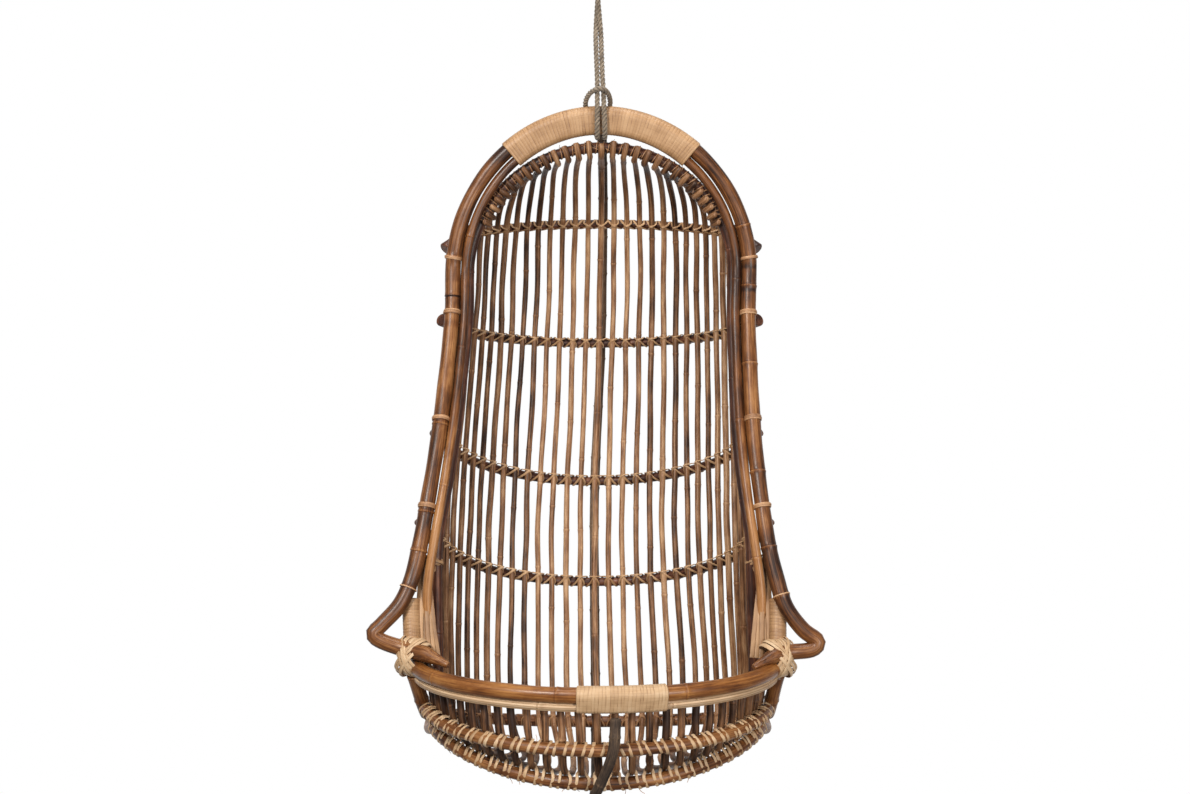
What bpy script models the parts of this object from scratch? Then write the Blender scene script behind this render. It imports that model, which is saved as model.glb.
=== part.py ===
"""Hanging rattan bucket chair on a rope, with its ceiling fitting.

Metres, +Z up, +X to the sitter's left as seen from the front, the open front faces -Y.
The origin is the centre of the ceiling plate's top face; the whole chair hangs below it.
The shell is a lattice: thin spindles run from the arch down the back, under the seat and
up to the front rail, and hoops lie outside them. Both are read from one smooth surface.
"""

import math

import bpy
from mathutils import Vector

# ---- driving dimensions -------------------------------------------------------------
MID_LEVEL = -0.900  # height of the middle of the chair, from which its heights count

HANG_TILT = 0.038  # how far the chair swings back per metre below the link

SPINDLE_RADIUS = 0.0058
SPINDLES_PER_SIDE = 14  # besides the one in the middle
MAIN_RADIUS = 0.0140
SECOND_RADIUS = 0.0085
INNER_HOOP_RADIUS = 0.0090
BAND_RADIUS = 0.0085
RING_RADIUS = 0.0105
FRONT_RAIL_RADIUS = 0.0135
UNDER_CANE_RADIUS = 0.0055
POST_RADIUS = 0.0105
BRACE_RADIUS = 0.0075
SPINE_RADIUS = 0.0085
ROPE_RADIUS = 0.0048
GAP = 0.0006  # clearance between canes that are lashed together
PEEL = 0.0014  # thickness of a wound layer of peel

# The arch is a superellipse standing on the two legs of the rim.
ARCH_HALF_WIDTH = 0.2678
ARCH_RISE = 0.2817
ARCH_SPRING = 0.2265
ARCH_POWER = 1.98
ARCH_STEPS = 32

# Stations down the shell, from band to band, each an arc in plan: its half angle in
# degrees and its half width at the outermost spindle, then depth and height on the
# centre line, then depth and height at the outermost spindle.
STATIONS = {
    "band_1": (80, 0.248, 0.215, 0.3305, 0.035, 0.290),
    "band_2": (80, 0.2585, 0.250, 0.107, 0.030, 0.130),
    "band_3": (80, 0.2645, 0.175, -0.1585, -0.050, -0.073),
    "band_4": (80, 0.268, 0.120, -0.347, -0.100, -0.254),
    "seat_back": (80, 0.274, 0.030, -0.590, -0.080, -0.560),
    "under_seat": (50, 0.270, -0.150, -0.642, -0.115, -0.553),
    "seat_front": (80, 0.272, -0.322, -0.615, -0.150, -0.560),
    "apron": (80, 0.280, -0.356, -0.562, -0.175, -0.527),
    "rail": (80, 0.288, -0.3575, -0.471, -0.185, -0.455),
}
FRONT_DROP_POWER = 1.5  # the seat's front edge sags more sharply to its middle
SPINDLE_STEPS = [1, 1, 1, 1, 2, 2, 1, 1, 1, 2, 2, 2, 1, 1]  # from the top to the rail
HOOD_DEPTH_SHARE = 0.50  # the hood's knuckle, between the inner hoop and band 1
HOOD_DROP_SHARE = 0.16
HOOP_BEHIND = 0.021  # the inner hoop's distance behind the rim
CURL_CLEARANCE = 0.0022  # between the inner hoop and the spindle's end round it
HOOP_ANGLE_MIDDLE = math.radians(89)  # where on the inner hoop the spindles end
HOOP_ANGLE_FALL = math.radians(21)

# The rim's legs from the arch's foot down, then each arm's elbow and its way back onto
# the front rail. The two arms were bent by hand, and the right one hangs lower.
LEG = [
    (0.2670, -0.013, 0.150),
    (0.2700, -0.036, 0.070),
    (0.2740, -0.064, -0.010),
    (0.2800, -0.095, -0.090),
    (0.2890, -0.125, -0.170),
    (0.3000, -0.150, -0.250),
    (0.3130, -0.168, -0.310),
]
LEFT_ARM = [
    (0.3320, -0.183, -0.354),
    (0.3620, -0.196, -0.387),
    (0.3765, -0.203, -0.402),
    (0.3630, -0.205, -0.4145),
    (0.3168, -0.209, -0.4290),
    (0.2450, -0.254, -0.4375),
]
RIGHT_ARM = [
    (0.3270, -0.183, -0.359),
    (0.3520, -0.196, -0.400),
    (0.3780, -0.203, -0.4230),
    (0.3650, -0.205, -0.4370),
    (0.3220, -0.209, -0.4315),
    (0.2450, -0.254, -0.4375),
]

RAIL_REACH = 1.10  # how far past the outermost spindle the front rail goes
APRON_REACH = 0.96
# Where each band ends, behind the rim pole and a little proud of it.
BAND_TIPS = {
    "band_1": (0.2840, 0.0200, 0.268),
    "band_2": (0.2875, 0.0080, 0.141),
    "band_3": (0.2970, -0.0620, -0.056),
    "band_4": (0.3135, -0.1170, -0.209),
}
ARCH_WRAP_STEPS = 7  # of the arch's own steps, each side of its top
RING_SIDE = (0.2950, -0.117, -0.580)  # the seat ring's widest point
CENTRE_WRAP_SPAN = (-0.035, 0.112)

# Ceiling fitting, in the part's own frame.
PLATE_RADIUS = 0.044
PLATE_THICKNESS = 0.005
SCREW_CIRCLE = 0.035
SCREW_HOLE_RADIUS = 0.0028
YOKE_HALF_WIDTH = 0.020
YOKE_DEPTH = 0.024
YOKE_THICKNESS = 0.004
YOKE_BOTTOM = -0.046
SWIVEL_SHANK_RADIUS = 0.005
SWIVEL_CLEARANCE = 0.0005
EYE_LEVEL = -0.077
EYE_RADIUS = 0.013
EYE_WIRE = 0.004
LINK_RADIUS = 0.026
LINK_WIRE = 0.004
LINK_LEVEL = EYE_LEVEL - (EYE_RADIUS - EYE_WIRE) + LINK_WIRE + GAP - LINK_RADIUS
SWING_LEVEL = LINK_LEVEL - LINK_RADIUS  # the bottom of the link, where the rope hangs

BACK = Vector((0, 1, 0))
SWING = Vector((0, 0, SWING_LEVEL))
LINK_CENTRE = Vector((0, 0, LINK_LEVEL))

# Colours and roughness.
BROWN_CANE = ((0.235, 0.120, 0.062), 0.42)
DARK_CANE = ((0.115, 0.062, 0.040), 0.50)
AMBER_CANE = ((0.330, 0.160, 0.065), 0.38)
SPINDLE_CANE = ((0.270, 0.165, 0.105), 0.50)
PALE_PEEL = ((0.620, 0.400, 0.220), 0.55)
STRAW_PEEL = ((0.680, 0.530, 0.330), 0.60)
HEMP = ((0.300, 0.240, 0.180), 0.90)
STEEL = ((0.560, 0.570, 0.580), 0.35, 1.0)


def lean(z):
    """The chair is hand bent: its middle line sways a few millimetres with the height."""
    return 0.006 * math.sin(5.46 * z) + 0.014 * max(z, 0) ** 2


def place(x, y, z):
    """A point of the chair, given from its own middle level, in the part's frame.

    The chair hangs tilted, so that its centre of mass is straight below the link.
    """
    height = z + MID_LEVEL
    return Vector((x + lean(z), y + HANG_TILT * (SWING_LEVEL - height), height))


# ---- curves -------------------------------------------------------------------------
def smooth(points, steps=2):
    """Points along a Catmull-Rom curve through points; steps is per span or a list."""
    points = [Vector(p) for p in points]
    spans = len(points) - 1
    counts = steps if isinstance(steps, list) else [steps] * spans
    before = [points[0] * 2 - points[1], *points[:-1]]
    after = [*points[1:], points[-1] * 2 - points[-2]]
    route = []
    for i in range(spans):
        p0, p1, p2 = before[i], points[i], points[i + 1]
        p3 = after[i + 1]
        for k in range(counts[i]):
            t = k / counts[i]
            route.append(
                0.5
                * (
                    2 * p1
                    + (p2 - p0) * t
                    + (2 * p0 - 5 * p1 + 4 * p2 - p3) * t**2
                    + (3 * p1 - p0 - 3 * p2 + p3) * t**3
                )
            )
    return [*route, points[-1]]


def mirrored(points):
    """The same run of points on the other side of the chair's own middle line."""
    return [Vector((-x, y, z)) for x, y, z in points]


def arch_point(angle, inset=0.0):
    """On the rim's arch, inset square to it; angle 0 is the top."""
    s, c = math.sin(angle), max(math.cos(angle), 0.0)
    x = math.copysign(abs(s) ** (2 / ARCH_POWER), s)
    z = c ** (2 / ARCH_POWER)
    slope_x = math.copysign(abs(x) ** (ARCH_POWER - 1), x) / ARCH_HALF_WIDTH
    slope_z = z ** (ARCH_POWER - 1) / ARCH_RISE
    inwards = -Vector((slope_x, 0, slope_z)).normalized()
    return Vector((x * ARCH_HALF_WIDTH, 0, ARCH_SPRING + z * ARCH_RISE)) + inwards * inset


def arch_run(offset_point, steps=ARCH_STEPS // 2):
    """Points along the arch from one end to the other, at its own even steps."""
    step = math.pi / ARCH_STEPS
    return [offset_point(k * step) for k in range(-steps, steps + 1)]


# ---- the shell ----------------------------------------------------------------------
def station_point(name, u):
    """On one station's arc; u is 0 on the centre line and 1 at the outermost spindle."""
    half_angle, half_width, y_mid, z_mid, y_end, z_end = STATIONS[name]
    end = math.radians(half_angle)
    share = (math.cos(u * end) - math.cos(end)) / (1 - math.cos(end))
    x = half_width * math.sin(u * end) / math.sin(end)
    y = y_end + (y_mid - y_end) * share
    drop = max(share, 0) ** FRONT_DROP_POWER if name == "seat_front" else share
    return Vector((x, y, z_end + (z_mid - z_end) * drop))


def closing(angle):
    """How far the inner hoop has closed up to the rim: 0 at the top, 1 at the side."""
    return math.sin(angle) ** 2


def inner_hoop_point(angle):
    """Under the arch and behind it; it closes up to the rim towards the sides."""
    return arch_point(angle, 0.0555 - 0.028 * closing(angle)) + Vector((0, HOOP_BEHIND, 0))


def curled_end(u):
    """A spindle's end from its tip down: up in front of the inner hoop, and under it."""
    angle = u * (HOOP_ANGLE_MIDDLE - HOOP_ANGLE_FALL * abs(u))
    hoop, shut = inner_hoop_point(angle), closing(angle)
    inwards = (arch_point(angle, 1.0) - arch_point(angle)).normalized()
    reach = INNER_HOOP_RADIUS + SPINDLE_RADIUS + CURL_CLEARANCE
    most = math.radians(90) * min(1.0, 1.0 - 0.9 * (shut - 0.5))
    entry = -math.radians(30 + 45 * shut)
    points = []
    for turn in (most, most / 2, 0.0, entry):
        points.append(
            hoop + inwards * math.cos(turn) * reach - BACK * math.sin(turn) * reach
        )
    stretch = 0.002 if u == 0 else max(0.002, 0.0105 - 0.016 * shut)
    return [points[0] - inwards * stretch, *points]


def spindle_stations(u):
    """The points that spindle u passes through, from its tip to the front rail."""
    end = curled_end(u)
    band = station_point("band_1", u)
    knuckle = end[-1].lerp(band, HOOD_DEPTH_SHARE)
    knuckle.z = end[-1].z + (band.z - end[-1].z) * HOOD_DROP_SHARE
    return [*end, knuckle, *(station_point(name, u) for name in STATIONS)]


def outward(name, u):
    """The shell's outward normal at a station."""
    small = 0.01
    across = station_point(name, u + small) - station_point(name, u - small)
    points = spindle_stations(u)
    i = list(STATIONS).index(name) + len(points) - len(STATIONS)
    along = points[min(i + 1, len(points) - 1)] - points[i - 1]
    return across.cross(along).normalized()


def outside(name, u, distance):
    """A point proud of the shell's middle surface at a station."""
    return station_point(name, u) + outward(name, u) * distance


def hoop_route(name, radius, reach, extra=0.0):
    """A hoop lying on the outside of the spindles, from u = -reach to reach."""
    distance = SPINDLE_RADIUS + radius + GAP + extra
    steps = SPINDLES_PER_SIDE
    crossings = [i / steps for i in range(-steps, steps + 1) if abs(i / steps) < reach]
    ends = [] if reach == 1 else [reach]
    us = [-u for u in ends] + crossings + ends
    return [outside(name, u, distance) for u in us]


# ---- Blender helpers ----------------------------------------------------------------
def material(name, colour, roughness, metallic=0.0):
    mat = bpy.data.materials.new(name)
    mat.use_nodes = True
    shader = mat.node_tree.nodes["Principled BSDF"]
    shader.inputs["Base Color"].default_value = (*colour, 1.0)
    shader.inputs["Roughness"].default_value = roughness
    shader.inputs["Metallic"].default_value = metallic
    mat.diffuse_color = (*colour, 1.0)
    return mat


def finish(name, mesh, colour, parent, origin):
    """Link a mesh given in the part's frame as an object whose origin is its joint."""
    for vertex in mesh.vertices:
        vertex.co -= origin
    mesh.shade_smooth()
    mesh.set_sharp_from_angle(angle=math.radians(35))
    mesh.materials.append(material(name, *colour))
    obj = bpy.data.objects.new(name, mesh)
    bpy.context.collection.objects.link(obj)
    obj.parent = parent
    return obj


def frames(route, closed=False):
    """Two unit vectors across a route at each point, turned along it without twist."""
    count = len(route)
    across = None
    pairs = []
    for i, point in enumerate(route):
        if closed:
            tangent = (route[(i + 1) % count] - route[i - 1]).normalized()
        else:
            tangent = (route[min(i + 1, count - 1)] - route[max(i - 1, 0)]).normalized()
        if across is None:
            start = Vector((0, 0, 1)) if abs(tangent.z) < 0.8 else Vector((0, 1, 0))
            across = start - tangent * start.dot(tangent)
        across = (across - tangent * across.dot(tangent)).normalized()
        pairs.append((across, tangent.cross(across)))
    return pairs


def sweep(route, outlines, closed=False, pairs=None):
    """Vertices and faces of outlines (one, or outer and inner) carried along a route.

    An outline is a list of (a, b) offsets; with two of them the body is a sleeve.
    """
    vertices, faces = [], []
    count, pairs = len(route), pairs or frames(route, closed)
    size = len(outlines[0])
    for point, (a, b) in zip(route, pairs, strict=True):
        for outline in outlines:
            vertices += [point + a * x + b * y for x, y in outline]
    ring = size * len(outlines)
    for i in range(count if closed else count - 1):
        here, there = i * ring, (i + 1) % count * ring
        for shell in range(len(outlines)):
            for k in range(size):
                p, q = shell * size + k, shell * size + (k + 1) % size
                quad = [here + p, here + q, there + q, there + p]
                faces.append(quad if shell == 0 else quad[::-1])
    if not closed:
        last = (count - 1) * ring
        if len(outlines) == 1:
            faces += [list(range(size))[::-1], list(range(last, last + size))]
        else:
            for k in range(size):
                p, q = k, (k + 1) % size
                faces.append([p + size, q + size, q, p])
                faces.append([last + p, last + q, last + q + size, last + p + size])
    return vertices, faces


def circle(radius, sides):
    turn = 2 * math.pi / sides
    return [(radius * math.cos(turn * k), radius * math.sin(turn * k)) for k in range(sides)]


def make(name, vertices, faces, colour, parent=None, origin=None):
    mesh = bpy.data.meshes.new(name)
    mesh.from_pydata([tuple(v) for v in vertices], [], faces)
    mesh.update()
    return finish(name, mesh, colour, parent, origin or Vector())


def pivot(name, location):
    """An empty on a joint's axis, for the pieces that move with it."""
    empty = bpy.data.objects.new(name, None)
    empty.location = location
    bpy.context.collection.objects.link(empty)
    return empty


def chair_pivot():
    return bpy.data.objects["chair_pivot"]


def cane(name, route, radius, colour, sides=8, closed=False):
    """A round cane of the chair along a route given from the chair's middle level."""
    points = [place(*p) for p in route]
    vertices, faces = sweep(points, [circle(radius, sides)], closed)
    return make(name, vertices, faces, colour, chair_pivot(), SWING)


def sleeve(name, route, outlines, colour, pairs=None):
    """A wound layer of the chair along a route given in the part's frame."""
    vertices, faces = sweep(route, outlines, pairs=pairs)
    return make(name, vertices, faces, colour, chair_pivot(), SWING)


def pair_sleeve(name, route, other, radii, colour):
    """A wound layer round two canes that lie side by side, along their two routes."""
    route, other = [place(*p) for p in route], [place(*p) for p in other]
    pairs = []
    for (a, b), point, beside in zip(frames(route), route, other, strict=True):
        across = (point - beside).normalized()
        pairs.append((across, a.cross(b).cross(across)))
    distance = (route[0] - other[0]).length
    inner = pair_outline(radii[0] + GAP, radii[1] + GAP, distance)
    outer = pair_outline(radii[0] + GAP + PEEL, radii[1] + GAP + PEEL, distance)
    return sleeve(name, route, [outer, inner], colour, pairs)


def pair_outline(radius_a, radius_b, distance, sides=7):
    """The taut outline round two canes, the second one a distance towards -a."""
    turn = math.acos((radius_b - radius_a) / distance)
    points = []
    for radius, start, sweep_angle, centre in (
        (radius_a, -turn, 2 * turn, 0.0),
        (radius_b, turn, 2 * math.pi - 2 * turn, -distance),
    ):
        step = sweep_angle / (sides - 1)
        reach = radius / math.cos(step / 2)
        for k in range(sides):
            t = start + step * k
            points.append((reach * math.cos(t) + centre, reach * math.sin(t)))
    return points


# ---- the chair's pieces -------------------------------------------------------------
def rim_route():
    """The thick rim pole: one leg, over the arch, and down the other leg."""
    left, right = mirrored(LEG + LEFT_ARM), [Vector(p) for p in LEG + RIGHT_ARM]
    counts = [2] * len(left) + [1] * ARCH_STEPS + [2] * len(right)
    return smooth([*left[::-1], *arch_run(arch_point), *right], counts)


def side_leg(inward, behind, foot):
    """The first points of the rim's leg, moved inwards and behind, then down to a foot."""
    beside = [Vector((x - inward, y + behind, z)) for x, y, z in LEG[:6]]
    return [*beside, *(Vector(p) for p in foot)]


def inner_pole_route(arch, leg):
    """A pole inside the rim: up one leg, over the arch and down the other leg."""
    counts = [1] * len(leg) + [1] * ARCH_STEPS + [1] * len(leg)
    return smooth([*mirrored(leg)[::-1], *arch, *leg], counts)


def second_pole_route():
    inset = MAIN_RADIUS + SECOND_RADIUS + GAP
    leg = side_leg(inset, 0.001, [(0.288, -0.160, -0.340), (0.2845, -0.166, -0.446)])
    return inner_pole_route(arch_run(lambda angle: arch_point(angle, inset)), leg)


def inner_hoop_route():
    leg = side_leg(0.0275, 0.0225, [(0.2745, -0.134, -0.340), (0.2755, -0.137, -0.520)])
    return inner_pole_route(arch_run(inner_hoop_point), leg)


def add_rim():
    cane("main_rim_pole", rim_route(), MAIN_RADIUS, BROWN_CANE)
    cane("second_rim_pole", second_pole_route(), SECOND_RADIUS, BROWN_CANE, sides=6)
    cane("inner_hoop", inner_hoop_route(), INNER_HOOP_RADIUS, DARK_CANE, sides=6)


def add_arch_wrap():
    """Wound peel that binds the rim pole and the second pole along the arch's top."""
    inset = MAIN_RADIUS + SECOND_RADIUS + GAP
    rim = arch_run(arch_point, ARCH_WRAP_STEPS)
    second = arch_run(lambda angle: arch_point(angle, inset), ARCH_WRAP_STEPS)
    pair_sleeve("arch_wrap", rim, second, (MAIN_RADIUS, SECOND_RADIUS), PALE_PEEL)


def add_spindles():
    """29 thin canes, each one piece from the inner hoop round to the front rail."""
    for i in range(-SPINDLES_PER_SIDE, SPINDLES_PER_SIDE + 1):
        stations = spindle_stations(i / SPINDLES_PER_SIDE)
        route = smooth(stations, SPINDLE_STEPS)
        number = i + SPINDLES_PER_SIDE + 1
        cane(f"spindle_{number:02d}", route, SPINDLE_RADIUS, SPINDLE_CANE, sides=6)


def add_bands():
    for name, tip in BAND_TIPS.items():
        route = hoop_route(name, BAND_RADIUS, 1 + 1e-6)[1:-1]
        cane(name, [*mirrored([tip]), *route, Vector(tip)], BAND_RADIUS, DARK_CANE, sides=6)


def seat_ring_route():
    """Closed ring outside the spindles: round the back, one side, the front, the other."""
    distance = SPINDLE_RADIUS + RING_RADIUS + GAP
    steps = SPINDLES_PER_SIDE
    us = [i / steps for i in range(-steps, steps + 1)]
    back = [outside("seat_back", u, distance) for u in us]
    front = [outside("seat_front", u, distance) for u in us[::-1]]
    side = Vector(RING_SIDE)
    return [*back, side, *front, *mirrored([side])]


def add_seat_ring():
    cane("seat_ring", seat_ring_route(), RING_RADIUS, BROWN_CANE, 6, closed=True)


def add_front():
    """The seat's front edge: rail, the cane under it, the wrap on both, and the apron."""
    room = PEEL + GAP  # for the wrap, between the rail and the spindles' ends
    rail = hoop_route("rail", FRONT_RAIL_RADIUS, RAIL_REACH, room)
    cane("front_rail", rail, FRONT_RAIL_RADIUS, AMBER_CANE)
    below = FRONT_RAIL_RADIUS + UNDER_CANE_RADIUS + GAP
    under = [p - Vector((0, 0, below)) for p in rail]
    cane("front_under_cane", under, UNDER_CANE_RADIUS, STRAW_PEEL, sides=6)
    low, high = CENTRE_WRAP_SPAN
    covered = [i for i, p in enumerate(rail) if low < p.x < high]
    pair_sleeve(
        "front_wrap",
        [rail[i] for i in covered],
        [under[i] for i in covered],
        (FRONT_RAIL_RADIUS, UNDER_CANE_RADIUS),
        STRAW_PEEL,
    )
    apron = hoop_route("apron", RING_RADIUS, APRON_REACH)
    cane("apron_rail", apron, RING_RADIUS, BROWN_CANE, sides=6)


def add_sides():
    """Corner posts, arm braces with their wraps, and the lashings at the corners."""
    post = [(0.2970, -0.138, -0.552), (0.3000, -0.157, -0.533), (0.3075, -0.185, -0.4905)]
    brace = [(0.3150, -0.158, -0.356), (0.3135, -0.172, -0.390), (0.3110, -0.186, -0.418)]
    for side, flip in (("left", mirrored), ("right", list)):
        cane(f"corner_post_{side}", smooth(flip([Vector(p) for p in post])),
             POST_RADIUS, BROWN_CANE)
        route = smooth(flip([Vector(p) for p in brace]))
        cane(f"arm_brace_{side}", route, BRACE_RADIUS, BROWN_CANE)
        outlines = [circle(BRACE_RADIUS + GAP + 2 * PEEL, 10), circle(BRACE_RADIUS + GAP, 10)]
        covered = [place(*p) for p in route[:-1]]
        sleeve(f"brace_wrap_{side}", covered, outlines, PALE_PEEL)


def spine_route():
    """Behind everything on the middle line, under the seat, and up in front."""
    def out(name, u, hoop_radius):
        reach = SPINDLE_RADIUS + 2 * hoop_radius + SPINE_RADIUS + 3 * GAP
        return outside(name, u, reach)

    top = [Vector((0.002, 0.036, 0.4715)), Vector((0.003, 0.125, 0.4550))]
    back = [out(name, 0.01, BAND_RADIUS) for name in ("band_1", "band_2")]
    back += [out(name, 0.0, BAND_RADIUS) for name in ("band_3", "band_4")]
    seat = [out("seat_back", -0.01, RING_RADIUS), out("under_seat", -0.02, RING_RADIUS)]
    front = [out("seat_front", -0.02, RING_RADIUS), out("apron", 0.06, RING_RADIUS)]
    tip = front[-1] + Vector((0.006, 0.0, 0.052))
    return smooth([*top, *back, *seat, *front, tip], 2)


def add_spine():
    cane("spine", spine_route(), SPINE_RADIUS, DARK_CANE)


# ---- rope ---------------------------------------------------------------------------
# The doubled rope's route from the splice down one strand, through the cow hitch round
# the arch, up the other strand and over the link; heights from the chair's middle level.
HITCH = [
    (-0.0055, -0.0010, 0.6550), (-0.0058, -0.0120, 0.6074), (-0.0058, -0.0200, 0.5674),
    (-0.0058, -0.0222, 0.5274), (-0.0060, -0.0224, 0.5024), (-0.0064, -0.0195, 0.4814),
    (-0.0066, 0.0000, 0.4674), (-0.0090, 0.0195, 0.4814), (-0.0150, 0.0224, 0.5044),
    (-0.0250, 0.0190, 0.5234), (-0.0290, 0.0060, 0.5374), (-0.0220, -0.0160, 0.5464),
    (-0.0060, -0.0336, 0.5484), (0.0080, -0.0336, 0.5464), (0.0170, -0.0150, 0.5444),
    (0.0185, 0.0060, 0.5374), (0.0150, 0.0200, 0.5194), (0.0115, 0.0224, 0.5004),
    (0.0080, 0.0195, 0.4814), (0.0066, 0.0000, 0.4674), (0.0064, -0.0195, 0.4814),
    (0.0060, -0.0224, 0.5024), (0.0058, -0.0222, 0.5274), (0.0058, -0.0200, 0.5674),
    (0.0058, -0.0120, 0.6074), (0.0055, 0.0010, 0.6550),
]
SPLICE_LEVEL = 0.738  # the rope's two ends meet here, inside the whipping
WHIPPING_LENGTH = 0.030


def rope_route():
    """From one end at the splice to the other end; the ends stay a hair apart."""
    turn = LINK_WIRE + ROPE_RADIUS + GAP
    over = [
        Vector((0, turn * math.cos(math.pi * k / 6), SWING_LEVEL - MID_LEVEL
                + turn * math.sin(math.pi * k / 6)))
        for k in range(7)
    ]
    below = SPLICE_LEVEL - 0.75 * WHIPPING_LENGTH
    first = [Vector((0, turn, SPLICE_LEVEL)), Vector((0, turn, below))]
    last = [Vector((0, -turn, below)), Vector((0, -turn, SPLICE_LEVEL))]
    end = Vector((0, turn, SPLICE_LEVEL + 0.001))
    return smooth([*first, *(Vector(p) for p in HITCH), *last, *over[::-1], end], 2)


def rope_place(point):
    """The rope runs straight from the tilted arch's middle to the link."""
    taut_from = 0.555
    free = min((SPLICE_LEVEL - point.z) / (SPLICE_LEVEL - taut_from), 1.0)
    free = max(free, 0.0)
    moved = place(*point) - Vector((0, 0, MID_LEVEL)) - point
    return point + moved * free + Vector((0, 0, MID_LEVEL))


def add_rope():
    """One closed loop of laid rope, hitched to the arch and hung over the link."""
    curve = bpy.data.curves.new("rope", "CURVE")
    curve.dimensions = "3D"
    curve.bevel_depth = ROPE_RADIUS
    curve.bevel_resolution = 2
    curve.render_resolution_u = 0
    curve.use_fill_caps = True
    points = [rope_place(p) - SWING for p in rope_route()]
    spline = curve.splines.new("POLY")
    spline.points.add(len(points) - 1)
    for point, place_at in zip(spline.points, points, strict=True):
        point.co = (*place_at, 1)
    curve.materials.append(material("rope", *HEMP))
    obj = bpy.data.objects.new("rope", curve)
    bpy.context.collection.objects.link(obj)
    obj.parent = chair_pivot()
    outlines = [circle(ROPE_RADIUS + 1.5 * GAP + PEEL, 10), circle(ROPE_RADIUS + 1.5 * GAP, 10)]
    turn = LINK_WIRE + ROPE_RADIUS + GAP
    half = WHIPPING_LENGTH / 2
    levels = [SPLICE_LEVEL + MID_LEVEL + d for d in (-half, half)]
    sleeve("splice_whipping", [Vector((0, turn, z)) for z in levels], outlines, HEMP)


# ---- ceiling fitting ----------------------------------------------------------------
def lathe(profile, sides=24):
    """Vertices and faces of a closed profile of (radius, z) points turned about Z."""
    vertices, faces = [], []
    rings = [p for p in profile if p[0] > 0]
    turn = 2 * math.pi / sides
    for radius, z in rings:
        for k in range(sides):
            vertices.append((radius * math.cos(turn * k), radius * math.sin(turn * k), z))
    for i in range(len(rings) - 1):
        for k in range(sides):
            q = (k + 1) % sides
            faces.append([i * sides + k, i * sides + q, (i + 1) * sides + q,
                          (i + 1) * sides + k])
    faces.append(list(range(sides))[::-1])
    last = (len(rings) - 1) * sides
    faces.append(list(range(last, last + sides)))
    return vertices, faces


def cutter(name, radius, x, y, low, high, sides=16):
    """A hidden upright cylinder that a Boolean uses."""
    vertices, faces = lathe([(radius, low), (radius, high)], sides)
    mesh = bpy.data.meshes.new(name)
    mesh.from_pydata([(vx + x, vy + y, vz) for vx, vy, vz in vertices], [], faces)
    obj = bpy.data.objects.new(name, mesh)
    bpy.context.collection.objects.link(obj)
    obj.hide_render = True
    obj.display_type = "WIRE"
    return obj


def boolean(target, other, operation):
    modifier = target.modifiers.new(other.name, "BOOLEAN")
    modifier.operation = operation
    modifier.object = other


def screw_places():
    for k in range(4):
        angle = math.pi / 4 + k * math.pi / 2
        yield SCREW_CIRCLE * math.cos(angle), SCREW_CIRCLE * math.sin(angle)


def add_plate():
    """Round plate on the ceiling, its four screws, and the yoke under it."""
    bottom = -PLATE_THICKNESS
    edge = 0.001
    vertices, faces = lathe(
        [(PLATE_RADIUS - edge, bottom), (PLATE_RADIUS, bottom + edge), (PLATE_RADIUS, 0)],
        32,
    )
    plate = make("ceiling_plate", vertices, faces, STEEL)
    for number, (x, y) in enumerate(screw_places(), 1):
        hole = cutter(f"hole_{number}", SCREW_HOLE_RADIUS, x, y, bottom - 0.01, 0.01)
        boolean(plate, hole, "DIFFERENCE")
        shank = SCREW_HOLE_RADIUS - 0.0004
        head = bottom - 0.0003
        vertices, faces = lathe([(0.0030, head - 0.0028), (0.0048, head - 0.0018),
                                 (0.0052, head), (shank, head), (shank, -0.0003)], 16)
        moved = [(vx + x, vy + y, vz) for vx, vy, vz in vertices]
        make(f"ceiling_screw_{number}", moved, faces, STEEL)


def add_yoke():
    """U-shaped strap welded under the plate, with the swivel's hole in its bottom."""
    top = -PLATE_THICKNESS - 0.0003
    outer, inner = YOKE_HALF_WIDTH, YOKE_HALF_WIDTH - YOKE_THICKNESS
    floor = YOKE_BOTTOM + YOKE_THICKNESS
    chamfer = 0.005
    outline = [(outer, top), (inner, top), (inner, floor), (-inner, floor), (-inner, top),
               (-outer, top), (-outer, YOKE_BOTTOM + chamfer),
               (-outer + chamfer, YOKE_BOTTOM), (outer - chamfer, YOKE_BOTTOM),
               (outer, YOKE_BOTTOM + chamfer)]
    half = YOKE_DEPTH / 2
    count = len(outline)
    vertices = [(x, y, z) for y in (-half, half) for x, z in outline]
    faces = [list(range(count))[::-1], list(range(count, 2 * count))]
    for k in range(count):
        q = (k + 1) % count
        faces.append([k, q, q + count, k + count])
    yoke = make("swivel_yoke", vertices, faces, STEEL)
    radius = SWIVEL_SHANK_RADIUS + SWIVEL_CLEARANCE
    boolean(yoke, cutter("yoke_hole", radius, 0, 0, YOKE_BOTTOM - 0.01, floor + 0.01, 24),
            "DIFFERENCE")


def torus(centre, radius, wire, axis, turns=24, sides=8):
    """Vertices and faces of a ring whose hole points along axis X or Y."""
    route = []
    for k in range(turns):
        t = 2 * math.pi * k / turns
        across, up = radius * math.cos(t), radius * math.sin(t)
        step = Vector((0, across, up)) if axis == "X" else Vector((across, 0, up))
        route.append(centre + step)
    return sweep(route, [circle(wire, sides)], closed=True)


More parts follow.
